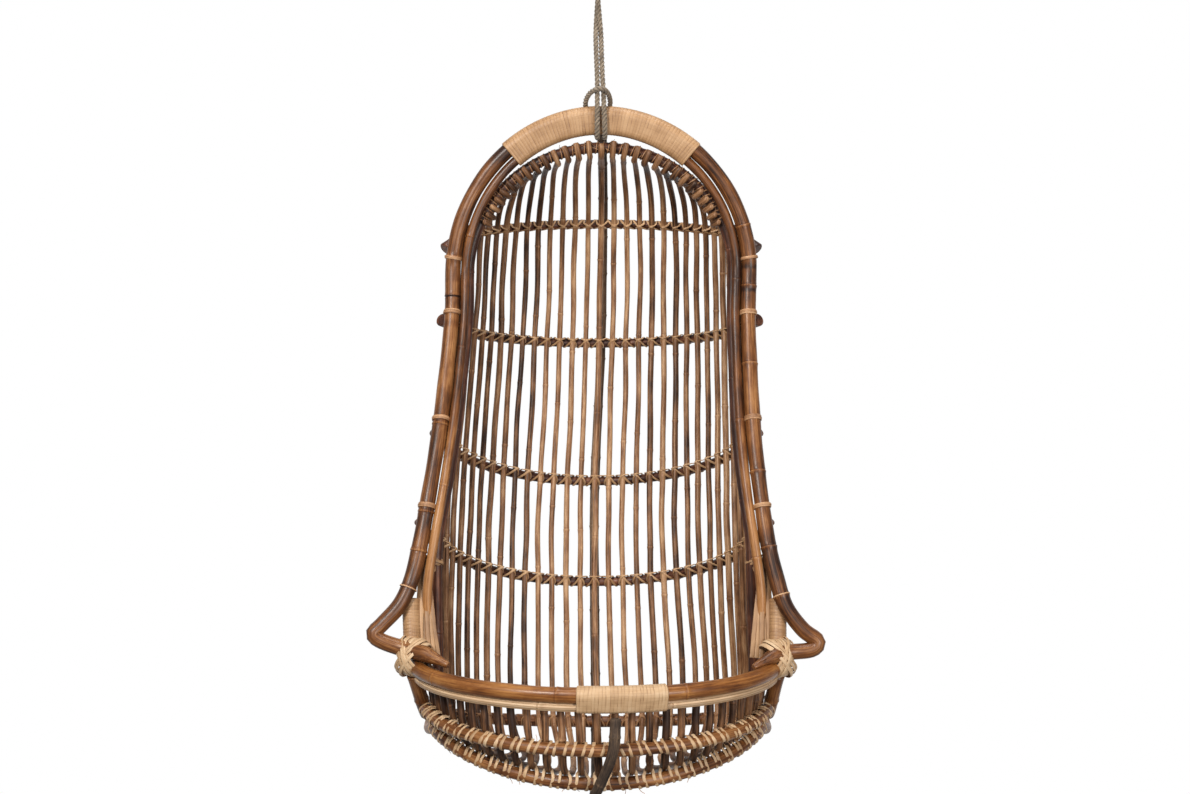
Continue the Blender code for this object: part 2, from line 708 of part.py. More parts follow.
def add_swivel():
    """The swivel's headed shank with its eye, and the link that hangs in the eye."""
    swivel = pivot("swivel_pivot", Vector((0, 0, YOKE_BOTTOM)))
    floor = YOKE_BOTTOM + YOKE_THICKNESS
    head = floor + 0.0003
    low = EYE_LEVEL + EYE_RADIUS - 0.001
    profile = [(SWIVEL_SHANK_RADIUS - 0.001, low), (SWIVEL_SHANK_RADIUS, low + 0.001),
               (SWIVEL_SHANK_RADIUS, head), (0.0095, head), (0.0095, head + 0.005),
               (0.0075, head + 0.007)]
    vertices, faces = lathe(profile)
    eye = make("swivel_eye", vertices, faces, STEEL, swivel, swivel.location)
    vertices, faces = torus(Vector((0, 0, EYE_LEVEL)), EYE_RADIUS, EYE_WIRE, "X")
    wire = bpy.data.meshes.new("eye_wire")
    wire.from_pydata([tuple(v) for v in vertices], [], faces)
    loop = bpy.data.objects.new("eye_wire", wire)
    bpy.context.collection.objects.link(loop)
    loop.hide_render = True
    loop.display_type = "WIRE"
    boolean(eye, loop, "UNION")
    link = pivot("link_pivot", LINK_CENTRE)
    vertices, faces = torus(LINK_CENTRE, LINK_RADIUS, LINK_WIRE, "Y", turns=32)
    make("hanging_link", vertices, faces, STEEL, link, LINK_CENTRE)


def main():
    for obj in list(bpy.data.objects):
        bpy.data.objects.remove(obj, do_unlink=True)
    pivot("chair_pivot", SWING)
    add_plate()
    add_yoke()
    add_swivel()
    add_rope()
    add_rim()
    add_arch_wrap()
    add_spindles()
    add_bands()
    add_seat_ring()
    add_front()
    add_sides()
    add_spine()
    bpy.context.view_layer.update()


main()
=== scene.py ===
"""Looks of the hanging rattan bucket chair: canes with nodes, peel lashings, laid rope.

The shape functions follow the CAD part's dimensions. The right arm, the middle of the front rail,
the ends of the two lowest back hoops and the hitch lie a few millimetres off their solids.
Heights marked as levels count from the chair's middle level.
"""

import math

import bpy
import numpy as np
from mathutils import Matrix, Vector


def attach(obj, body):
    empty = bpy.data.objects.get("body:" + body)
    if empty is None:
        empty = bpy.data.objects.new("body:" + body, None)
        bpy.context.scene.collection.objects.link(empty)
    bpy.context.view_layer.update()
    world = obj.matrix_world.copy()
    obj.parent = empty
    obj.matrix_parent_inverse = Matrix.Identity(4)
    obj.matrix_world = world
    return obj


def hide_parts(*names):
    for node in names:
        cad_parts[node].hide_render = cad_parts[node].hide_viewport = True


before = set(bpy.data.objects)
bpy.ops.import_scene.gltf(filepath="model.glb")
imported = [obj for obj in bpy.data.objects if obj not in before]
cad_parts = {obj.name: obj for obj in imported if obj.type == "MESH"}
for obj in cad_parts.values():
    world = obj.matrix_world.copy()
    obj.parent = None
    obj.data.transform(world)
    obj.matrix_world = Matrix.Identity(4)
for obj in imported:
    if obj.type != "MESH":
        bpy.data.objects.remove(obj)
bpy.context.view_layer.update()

# ---- dimensions, as in the CAD part ----
MID_LEVEL = -0.900
HANG_TILT = 0.038
SWING_LEVEL = -0.1334
SPINDLE_RADIUS = 0.0058
PER_SIDE = 14
MAIN_RADIUS = 0.0140
SECOND_RADIUS = 0.0085
INNER_HOOP_RADIUS = 0.0090
HOOP_LOOK_RADIUS = INNER_HOOP_RADIUS * 1.12
BAND_RADIUS = 0.0085
RING_RADIUS = 0.0105
FRONT_RAIL_RADIUS = 0.0135
UNDER_CANE_RADIUS = 0.0055
POST_RADIUS = 0.0105
BRACE_RADIUS = 0.0075
SPINE_RADIUS = 0.0085
ROPE_RADIUS = 0.0048
LINK_WIRE = 0.004
GAP = 0.0006
PEEL = 0.0014
ARCH_HALF_WIDTH = 0.2678
ARCH_RISE = 0.2817
ARCH_SPRING = 0.2265
ARCH_POWER = 1.98
ARCH_STEPS = 32
STATIONS = {
    "band_1": (80, 0.248, 0.215, 0.3305, 0.035, 0.290),
    "band_2": (80, 0.2585, 0.250, 0.107, 0.030, 0.130),
    "band_3": (80, 0.2645, 0.175, -0.1585, -0.050, -0.073),
    "band_4": (80, 0.268, 0.120, -0.347, -0.100, -0.254),
    "seat_back": (80, 0.274, 0.030, -0.590, -0.080, -0.560),
    "under_seat": (50, 0.270, -0.150, -0.642, -0.115, -0.553),
    "seat_front": (80, 0.272, -0.322, -0.615, -0.150, -0.560),
    "apron": (80, 0.280, -0.356, -0.562, -0.175, -0.527),
    "rail": (80, 0.288, -0.3575, -0.476, -0.185, -0.455),
}
FRONT_DROP_POWER = 1.5
BAND_TIPS = {
    "band_1": (0.2840, 0.0200, 0.268), "band_2": (0.2875, 0.0080, 0.141),
    "band_3": (0.2970, -0.0620, -0.056), "band_4": (0.3135, -0.1170, -0.209),
}
LOW_BAND_CUT = 0.008
SPINDLE_SWAY = 0.0024
FRONT_WRAP_LEFT, FRONT_WRAP_RIGHT = -0.034, 0.114
HOOP_BEHIND = 0.021
CURL_CLEARANCE = 0.0022
HOOP_ANGLE_MIDDLE = math.radians(89)
HOOP_ANGLE_FALL = math.radians(21)
LEG = [
    (0.2670, -0.013, 0.150), (0.2700, -0.036, 0.070), (0.2740, -0.064, -0.010),
    (0.2800, -0.095, -0.090), (0.2890, -0.125, -0.170), (0.3000, -0.150, -0.250),
    (0.3130, -0.168, -0.310),
]
LEFT_ARM = [
    (0.3320, -0.183, -0.354), (0.3620, -0.196, -0.387), (0.3765, -0.203, -0.402),
    (0.3630, -0.205, -0.4145), (0.3168, -0.209, -0.4290), (0.2450, -0.254, -0.4375),
]
RIGHT_ARM = [
    (0.3270, -0.183, -0.357), (0.3540, -0.196, -0.3955), (0.3785, -0.203, -0.4150),
    (0.3670, -0.205, -0.4295), (0.3220, -0.209, -0.4340), (0.2650, -0.246, -0.4420),
]
BACK = Vector((0, 1, 0))


# ---- camera and light ----
def add_camera():
    data = bpy.data.cameras.new("camera")
    data.lens = 50
    data.sensor_width = 36
    data.clip_end = 50
    camera = bpy.data.objects.new("camera", data)
    camera.location = (-0.0045, -2.968, MID_LEVEL)
    camera.rotation_euler = (math.radians(90), 0, 0)
    bpy.context.collection.objects.link(camera)
    bpy.context.scene.camera = camera


def add_light(name, place, aim, size, power, colour=(1, 1, 1)):
    data = bpy.data.lights.new(name, "AREA")
    data.shape = "DISK"
    data.size = size
    data.energy = power
    data.color = colour
    light = bpy.data.objects.new(name, data)
    light.location = place
    light.rotation_euler = (Vector(aim) - Vector(place)).to_track_quat("-Z", "Y").to_euler()
    bpy.context.collection.objects.link(light)


def add_world(strength):
    world = bpy.data.worlds.new("studio")
    world.use_nodes = True
    background = world.node_tree.nodes["Background"]
    background.inputs["Color"].default_value = (1.0, 1.0, 1.0, 1)
    background.inputs["Strength"].default_value = strength
    bpy.context.scene.world = world


def add_backdrop():
    """A plain white wall far behind the chair."""
    mesh = bpy.data.meshes.new("backdrop")
    mesh.from_pydata([(-8, 5, -7), (8, 5, -7), (8, 5, 6), (-8, 5, 6)], [], [[0, 1, 2, 3]])
    mat = bpy.data.materials.new("backdrop")
    mat.use_nodes = True
    tree = mat.node_tree
    tree.nodes.clear()
    glow = tree.nodes.new("ShaderNodeEmission")
    glow.inputs["Strength"].default_value = 1.0
    made = tree.nodes.new("ShaderNodeOutputMaterial")
    tree.links.new(glow.outputs[0], made.inputs[0])
    mesh.materials.append(mat)
    wall = bpy.data.objects.new("backdrop", mesh)
    bpy.context.collection.objects.link(wall)


add_camera()
add_backdrop()
add_world(0.22)
bpy.context.scene.view_settings.view_transform = "Standard"
middle = (0, 0, MID_LEVEL)
add_light("key", (-1.3, -2.9, 0.6), middle, 0.9, 95, (1.0, 0.97, 0.93))
add_light("fill", (1.6, -3.0, -0.9), middle, 1.2, 55, (1.0, 0.98, 0.96))
add_light("top", (0.2, -0.6, 1.6), middle, 1.2, 30)


# ---- shapes ----
def lean(z):
    """The slight sideways bend of the whole chair at height z."""
    return 0.006 * math.sin(5.46 * z) + 0.014 * max(z, 0) ** 2


def place(x, y, z):
    """A point of the upright chair, moved to where the tilted chair has it."""
    height = z + MID_LEVEL
    return Vector((x + lean(z), y + HANG_TILT * (SWING_LEVEL - height), height))


def vectors(points):
    return [Vector(p) for p in points]


def array(points):
    return np.array([tuple(p) for p in points])


def around(sides):
    """Equal angles once round a circle."""
    return np.linspace(0, 2 * np.pi, sides, endpoint=False)


def mirrored(points):
    return [Vector((-x, y, z)) for x, y, z in points]


def smooth(points, steps=2):
    """Points along a Catmull-Rom curve; steps is per span, or a list of them."""
    points = vectors(points)
    spans = len(points) - 1
    counts = steps if isinstance(steps, list) else [steps] * spans
    before = [points[0] * 2 - points[1], *points[:-1]]
    after = [*points[1:], points[-1] * 2 - points[-2]]
    route = []
    for i in range(spans):
        p0, p1, p2, p3 = before[i], points[i], points[i + 1], after[i + 1]
        for k in range(counts[i]):
            t = k / counts[i]
            route.append(0.5 * (2 * p1 + (p2 - p0) * t
                                + (2 * p0 - 5 * p1 + 4 * p2 - p3) * t**2
                                + (3 * p1 - p0 - 3 * p2 + p3) * t**3))
    return [*route, points[-1]]


def arch_point(angle, inset=0.0):
    """A point of the top arch: angle 0 is its crown, and inset moves it inwards."""
    s, c = math.sin(angle), max(math.cos(angle), 0.0)
    x = math.copysign(abs(s) ** (2 / ARCH_POWER), s)
    z = c ** (2 / ARCH_POWER)
    slope_x = math.copysign(abs(x) ** (ARCH_POWER - 1), x) / ARCH_HALF_WIDTH
    slope_z = z ** (ARCH_POWER - 1) / ARCH_RISE
    inwards = -Vector((slope_x, 0, slope_z)).normalized()
    return Vector((x * ARCH_HALF_WIDTH, 0, ARCH_SPRING + z * ARCH_RISE)) + inwards * inset


def arch_run(offset_point, steps=ARCH_STEPS // 2):
    step = math.pi / ARCH_STEPS
    return [offset_point(k * step) for k in range(-steps, steps + 1)]


def station_point(name, u):
    """Where the spindle at u, from -1 at the left to 1, crosses a hoop or rail."""
    half_angle, half_width, y_mid, z_mid, y_end, z_end = STATIONS[name]
    end = math.radians(half_angle)
    share = (math.cos(u * end) - math.cos(end)) / (1 - math.cos(end))
    x = half_width * math.sin(u * end) / math.sin(end)
    y = y_end + (y_mid - y_end) * share
    drop = max(share, 0) ** FRONT_DROP_POWER if name == "seat_front" else share
    return Vector((x, y, z_end + (z_mid - z_end) * drop))


def closing(angle):
    """0 at the arch's crown, rising to 1 at its feet."""
    return math.sin(angle) ** 2


def hoop_angle(u):
    """Where a spindle ends on the arch; u runs from -1 at the left to 1 at the right."""
    return u * (HOOP_ANGLE_MIDDLE - HOOP_ANGLE_FALL * abs(u))


def arch_inwards(angle):
    return (arch_point(angle, 1.0) - arch_point(angle)).normalized()


def inner_hoop_point(angle):
    return arch_point(angle, 0.0555 - 0.028 * closing(angle)) + Vector((0, HOOP_BEHIND, 0))


def curled_end(u):
    """Points of a spindle's upper end, which curls round the inner hoop."""
    angle = hoop_angle(u)
    hoop, shut, inwards = inner_hoop_point(angle), closing(angle), arch_inwards(angle)
    reach = INNER_HOOP_RADIUS + SPINDLE_RADIUS + CURL_CLEARANCE
    most = math.radians(90) * min(1.0, 1.0 - 0.9 * (shut - 0.5))
    entry = -math.radians(30 + 45 * shut)
    points = []
    for turn in (most, most / 2, 0.0, entry):
        points.append(hoop + inwards * math.cos(turn) * reach - BACK * math.sin(turn) * reach)
    stretch = 0.002 if u == 0 else max(0.002, 0.0105 - 0.016 * shut)
    return [points[0] - inwards * stretch, *points]


def spindle_stations(u):
    """All the points that a spindle passes, from its curled end to the front rail."""
    end = curled_end(u)
    band = station_point("band_1", u)
    knuckle = end[-1].lerp(band, 0.50)
    knuckle.z = end[-1].z + (band.z - end[-1].z) * 0.16
    return [*end, knuckle, *(station_point(name, u) for name in STATIONS)]


def outward(name, u):
    """The direction out of the basket at a crossing."""
    small = 0.01
    across = station_point(name, u + small) - station_point(name, u - small)
    points = spindle_stations(u)
    i = list(STATIONS).index(name) + len(points) - len(STATIONS)
    along = points[min(i + 1, len(points) - 1)] - points[i - 1]
    return across.cross(along).normalized()


def outside(name, u, distance):
    return station_point(name, u) + outward(name, u) * distance


def hoop_route(name, radius, reach, extra=0.0):
    """A hoop that passes outside every spindle; reach 1 is the outermost spindle."""
    distance = SPINDLE_RADIUS + radius + GAP + extra
    crossings = [i / PER_SIDE for i in range(-PER_SIDE, PER_SIDE + 1)]
    crossings = [u for u in crossings if abs(u) < reach]
    ends = [] if reach == 1 else [reach]
    us = [-u for u in ends] + crossings + ends
    return [outside(name, u, distance) for u in us]


# ---- materials ----
def new_material(name):
    mat = bpy.data.materials.new(name)
    mat.use_nodes = True
    tree = mat.node_tree
    return mat, tree, tree.nodes["Principled BSDF"]


def node(tree, kind, **settings):
    made = tree.nodes.new(kind)
    for key, value in settings.items():
        setattr(made, key, value)
    return made


def ramp(tree, source, stops):
    made = tree.nodes.new("ShaderNodeValToRGB")
    elements = made.color_ramp.elements
    while len(elements) < len(stops):
        elements.new(0.5)
    for element, (at, colour) in zip(elements, stops, strict=True):
        element.position = at
        element.color = (*colour, 1)
    tree.links.new(source, made.inputs[0])
    return made.outputs[0]


def multiplied(tree, a, b):
    made = node(tree, "ShaderNodeMix", data_type="RGBA", blend_type="MULTIPLY")
    made.inputs[0].default_value = 1.0
    tree.links.new(a, made.inputs[6])
    tree.links.new(b, made.inputs[7])
    return made.outputs[2]


def maths(tree, operation, a, b=0.0):
    made = node(tree, "ShaderNodeMath", operation=operation)
    for socket, value in ((made.inputs[0], a), (made.inputs[1], b)):
        if isinstance(value, bpy.types.NodeSocket):
            tree.links.new(value, socket)
        else:
            socket.default_value = value
    return made.outputs[0]


def along_grain(tree, across_scale, along_scale):
    """Noise coordinates stretched along a cane: grain holds metres across and along it."""
    coordinates = node(tree, "ShaderNodeAttribute", attribute_name="grain")
    mapping = node(tree, "ShaderNodeMapping")
    mapping.inputs["Scale"].default_value = (across_scale, across_scale, along_scale)
    tree.links.new(coordinates.outputs["Vector"], mapping.inputs[0])
    return mapping.outputs[0]


def noise_from(tree, vector, scale=1.0, detail=3.0, roughness=0.55):
    made = node(tree, "ShaderNodeTexNoise")
    made.inputs["Scale"].default_value = scale
    made.inputs["Detail"].default_value = detail
    made.inputs["Roughness"].default_value = roughness
    tree.links.new(vector, made.inputs["Vector"])
    return made.outputs[0]


def attribute(tree, name):
    return node(tree, "ShaderNodeAttribute", attribute_name=name).outputs["Fac"]


def toned(tree, first, first_share, second, second_share, shift=0.0):
    """Two noises weighted and added, shifted, and moved by the piece's own tone."""
    value = maths(tree, "ADD", maths(tree, "MULTIPLY", first, first_share),
                  maths(tree, "MULTIPLY", second, second_share))
    return maths(tree, "ADD", maths(tree, "ADD", value, shift), attribute(tree, "tone"))


def set_inputs(made, values):
    for name, value in values.items():
        made.inputs[name].default_value = value


def add_bump(tree, shader, height, strength, depth):
    """Relief that follows height, depth metres deep."""
    bump = node(tree, "ShaderNodeBump")
    set_inputs(bump, {"Strength": strength, "Distance": depth})
    tree.links.new(height, bump.inputs["Height"])
    tree.links.new(bump.outputs[0], shader.inputs["Normal"])


def add_roughness(tree, shader, source, low, high):
    rough = node(tree, "ShaderNodeMapRange")
    set_inputs(rough, {"To Min": low, "To Max": high})
    tree.links.new(source, rough.inputs[0])
    tree.links.new(rough.outputs[0], shader.inputs["Roughness"])


def cane_material(name, dark, mid, light, roughness, coat=0.0):
    """Lacquered rattan: streaks along the cane, blotches, dark node lines, scuffed highs.

    The attribute tone shifts a whole cane darker or lighter, and knot marks its nodes.
    """
    mat, tree, shader = new_material(name)
    streak = noise_from(tree, along_grain(tree, 420, 11), 1.0, 5.0, 0.65)
    blotch = noise_from(tree, along_grain(tree, 34, 12), 1.0, 4.0, 0.65)
    value = toned(tree, streak, 1.5, blotch, 1.5, -0.97)
    low = tuple(0.5 * a + 0.5 * b for a, b in zip(dark, mid, strict=True))
    colour = ramp(tree, value, [(0.12, dark), (0.36, low), (0.56, mid), (0.95, light)])
    scratch = noise_from(tree, along_grain(tree, 1300, 22), 1.0, 2.0, 0.5)
    scar = ramp(tree, scratch, [(0.30, (0.45, 0.36, 0.32)), (0.40, (1, 1, 1))])
    colour = multiplied(tree, colour, scar)
    knot = attribute(tree, "knot")
    shade = ramp(tree, knot, [(0.0, (1, 1, 1)), (0.55, (0.86, 0.80, 0.76)),
                              (1.0, (0.42, 0.34, 0.30))])
    colour = multiplied(tree, colour, shade)
    tree.links.new(colour, shader.inputs["Base Color"])
    add_roughness(tree, shader, streak, roughness - 0.10, roughness + 0.14)
    set_inputs(shader, {"Specular IOR Level": 0.38, "Coat Weight": coat, "Coat Roughness": 0.22})
    fine = noise_from(tree, along_grain(tree, 900, 40), 1.0, 3.0, 0.6)
    height = maths(tree, "ADD", streak, maths(tree, "MULTIPLY", fine, 0.5))
    add_bump(tree, shader, height, 0.35, 0.0006)
    return mat


def peel_material(name, dark, mid, light, roughness):
    """Wound peel: satin strips, each of its own tone, with thin dark seams."""
    mat, tree, shader = new_material(name)
    streak = noise_from(tree, along_grain(tree, 700, 30), 1.0, 3.0, 0.6)
    blotch = noise_from(tree, along_grain(tree, 25, 25), 1.0, 3.0, 0.5)
    value = toned(tree, streak, 0.40, blotch, 0.60)
    colour = ramp(tree, value, [(0.22, dark), (0.52, mid), (0.85, light)])
    shade = ramp(tree, attribute(tree, "knot"), [(0.0, (1, 1, 1)), (1.0, (0.40, 0.27, 0.18))])
    colour = multiplied(tree, colour, shade)
    tree.links.new(colour, shader.inputs["Base Color"])
    set_inputs(shader, {"Roughness": roughness, "Coat Weight": 0.12, "Coat Roughness": 0.35})
    add_bump(tree, shader, streak, 0.3, 0.0004)
    return mat


def bark_material(name):
    """Dull dark bark: long ridges, grey lichen flecks and worn brown patches."""
    mat, tree, shader = new_material(name)
    ridge = noise_from(tree, along_grain(tree, 520, 20), 1.0, 5.0, 0.7)
    patch = noise_from(tree, along_grain(tree, 60, 40), 1.0, 4.0, 0.6)
    value = toned(tree, ridge, 1.2, patch, 1.0, -0.60)
    colour = ramp(tree, value, [(0.20, (0.012, 0.007, 0.004)), (0.50, (0.060, 0.036, 0.022)),
                                (0.72, (0.130, 0.078, 0.044)), (0.95, (0.250, 0.160, 0.095))])
    tree.links.new(colour, shader.inputs["Base Color"])
    set_inputs(shader, {"Roughness": 0.82})
    add_bump(tree, shader, ridge, 0.8, 0.0012)
    return mat


def rope_material(name, dark, mid, light):
    """Dull natural fibre: fine yarn lines, and painted shade that darkens the grooves, so the crowns
    stay lighter.
    """
    mat, tree, shader = new_material(name)
    fibre = noise_from(tree, along_grain(tree, 1500, 260), 1.0, 3.0, 0.65)
    blotch = noise_from(tree, along_grain(tree, 40, 40), 1.0, 2.0, 0.5)
    value = toned(tree, fibre, 0.55, blotch, 0.45)
    colour = ramp(tree, value, [(0.30, dark), (0.52, mid), (0.78, light)])
    # Painted shade: this darkens the grooves between the strands and the dips between the whipping's
    # turns.
    shade = ramp(tree, attribute(tree, "knot"), [(0.0, (1, 1, 1)), (1.0, (0.22, 0.19, 0.17))])
    colour = multiplied(tree, colour, shade)
    tree.links.new(colour, shader.inputs["Base Color"])
    set_inputs(shader, {"Roughness": 0.92, "Sheen Weight": 0.25, "Sheen Roughness": 0.6})
    add_bump(tree, shader, fibre, 0.6, 0.0006)
    return mat


def metal_material(name):
    """Zinc plated steel with faint spangle and handling marks."""
    mat, tree, shader = new_material(name)
    coordinates = node(tree, "ShaderNodeTexCoord").outputs["Object"]
    spangle = node(tree, "ShaderNodeTexVoronoi")
    spangle.inputs["Scale"].default_value = 160
    tree.links.new(coordinates, spangle.inputs["Vector"])
    marks = noise_from(tree, coordinates, 60, 4.0, 0.6)
    value = maths(tree, "ADD", maths(tree, "MULTIPLY", spangle.outputs["Distance"], 0.35), marks)
    colour = ramp(tree, value, [(0.3, (0.42, 0.43, 0.45)), (0.6, (0.60, 0.61, 0.63)),
                                (0.9, (0.70, 0.71, 0.72))])
    tree.links.new(colour, shader.inputs["Base Color"])
    set_inputs(shader, {"Metallic": 1.0})
    add_roughness(tree, shader, marks, 0.24, 0.46)
    return mat


MAIN_CANE = cane_material("rattan_pole", (0.026, 0.008, 0.003), (0.180, 0.062, 0.015),
                          (0.400, 0.185, 0.064), 0.42, 0.13)
AMBER_CANE = cane_material("amber_pole", (0.046, 0.012, 0.003), (0.205, 0.068, 0.013),
                           (0.395, 0.170, 0.045), 0.38, 0.18)
DARK_CANE = cane_material("dark_cane", (0.010, 0.004, 0.003), (0.070, 0.022, 0.011),
                          (0.240, 0.090, 0.042), 0.48, 0.10)
SPINDLE_CANE = cane_material("spindle_cane", (0.032, 0.012, 0.005), (0.268, 0.124, 0.052),
                             (0.560, 0.338, 0.178), 0.50, 0.06)
PALE_PEEL = peel_material("pale_peel", (0.200, 0.095, 0.038), (0.425, 0.240, 0.112),
                          (0.620, 0.395, 0.215), 0.52)
STRAW_PEEL = peel_material("straw_peel", (0.260, 0.140, 0.060), (0.540, 0.345, 0.185),
                           (0.740, 0.550, 0.350), 0.55)
LASH_PEEL = peel_material("lashing_peel", (0.160, 0.065, 0.025), (0.400, 0.200, 0.090),
                          (0.600, 0.360, 0.190), 0.52)
HEMP = rope_material("hemp_rope", (0.075, 0.055, 0.038), (0.250, 0.192, 0.132),
                     (0.470, 0.385, 0.285))
BARK = bark_material("stake_bark")
ZINC = metal_material("zinc_steel")


# ---- mesh building ----
def resample(points, spacing):
    """Evenly spaced points on the curve through points, and their distances along it."""
    fine = array(smooth(points, 8))
    lengths = np.concatenate([[0], np.cumsum(np.linalg.norm(np.diff(fine, axis=0), axis=1))])
    count = max(3, int(lengths[-1] / spacing) + 1)
    return fine, lengths, np.linspace(0, lengths[-1], count)


def unit(vectors):
    return vectors / np.maximum(np.linalg.norm(vectors, axis=-1, keepdims=True), 1e-12)


class Strands:
    """Collects swept strands and builds them as one object."""

    def __init__(self):
        self.vertices, self.faces, self.tone, self.knot, self.grain = [], [], [], [], []
        self.count = 0

    def add(self, path, ref, outline, tone=0.0, knot=None, offset=0.0, closed=False):
        """Sweep outline(i) -> (sides, 2) offsets, or one array, along path (n, 3).

        ref is the direction of the outline's first axis, one or one for each point.
        """
        n = len(path)
        if closed:
            tangent = unit(np.roll(path, -1, 0) - np.roll(path, 1, 0))
        else:
            tangent = unit(np.gradient(path, axis=0))
        ref = np.broadcast_to(np.asarray(ref, float), (n, 3))
        first = unit(ref - tangent * (ref * tangent).sum(1, keepdims=True))
        second = np.cross(tangent, first)
        outline = np.asarray(outline, float)
        if outline.ndim == 2:
            outline = np.broadcast_to(outline, (n, *outline.shape))
        sides = outline.shape[1]
        rings = (path[:, None] + first[:, None] * outline[:, :, :1]
                 + second[:, None] * outline[:, :, 1:])
        step = np.linalg.norm(np.diff(path, axis=0), axis=1)
        along = np.concatenate([[0], np.cumsum(step)]) + offset
        grain = np.concatenate([outline, np.broadcast_to(along[:, None, None], (n, sides, 1))], 2)
        self.vertices.append(rings.reshape(-1, 3))
        self.grain.append(grain.reshape(-1, 3))
        for kept, value in ((self.tone, tone), (self.knot, 0.0 if knot is None else knot)):
            value = np.asarray(value, float)
            if value.ndim == 1:
                value = value[:, None]
            kept.append(np.broadcast_to(value, (n, sides)).reshape(-1))
        k = np.arange(sides)
        for i in range(n if closed else n - 1):
            here = self.count + i * sides
            there = self.count + (i + 1) % n * sides
            quads = np.stack([here + k, here + (k + 1) % sides,
                              there + (k + 1) % sides, there + k], 1)
            self.faces += quads.tolist()
        if not closed:
            last = self.count + (n - 1) * sides
            self.faces += [list(range(self.count, self.count + sides))[::-1],
                           list(range(last, last + sides))]
        self.count += n * sides

    def build(self, name, material, body="chair", replaces=(), angle=38):
        mesh = bpy.data.meshes.new(name)
        mesh.from_pydata(np.concatenate(self.vertices).tolist(), [], self.faces)
        for label, kind, parts in (("tone", "FLOAT", self.tone), ("knot", "FLOAT", self.knot),
                                   ("grain", "FLOAT_VECTOR", self.grain)):
            data = mesh.attributes.new(label, kind, "POINT").data
            flat = np.concatenate(parts).astype(np.float32).reshape(-1)
            data.foreach_set("vector" if kind == "FLOAT_VECTOR" else "value", flat)
        mesh.update()
        mesh.shade_smooth()
        mesh.set_sharp_from_angle(angle=math.radians(angle))
        mesh.materials.append(material)
        made = bpy.data.objects.new(name, mesh)
        bpy.context.collection.objects.link(made)
        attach(made, body)
        if replaces:
            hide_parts(*replaces)
        return made


def circle_outline(radii, sides):
    """Rings of a round strand whose radius changes along it."""
    turn = around(sides)
    radii = np.atleast_1d(radii)[:, None]
    return np.stack([radii * np.cos(turn), radii * np.sin(turn)], 2)


def knot_places(length, rng, low, high):
    """Where a cane's nodes are: at uneven distances along it."""
    places, at = [], rng.uniform(0.2, 0.9) * low
    while at < length - 0.02:
        places.append(at)
        at += rng.uniform(low, high)
    return places


def wander(fine, lengths, s, fixed, ref, most, rng):
    """Sideways bends of a cane between the points where it is held."""
    held = [0.0]
    for point in fixed:
        held.append(lengths[np.argmin(np.linalg.norm(fine - np.array(tuple(point)), axis=1))])
    held = sorted([*held, lengths[-1]])
    shift = np.zeros((len(s), 3))
    for low, high in zip(held[:-1], held[1:], strict=True):
        size = min(1.0, (high - low) / 0.12) * most
        t = np.clip((s - low) / max(high - low, 1e-6), 0, 1)
        lean_to = rng.uniform(-1, 1) * np.sin(np.pi * t) ** 2
        wave = rng.uniform(-0.45, 0.45) * np.sin(2 * np.pi * t) * np.sin(np.pi * t)
        shift += ((lean_to + wave) * size)[:, None] * np.asarray(ref, float)
    return shift


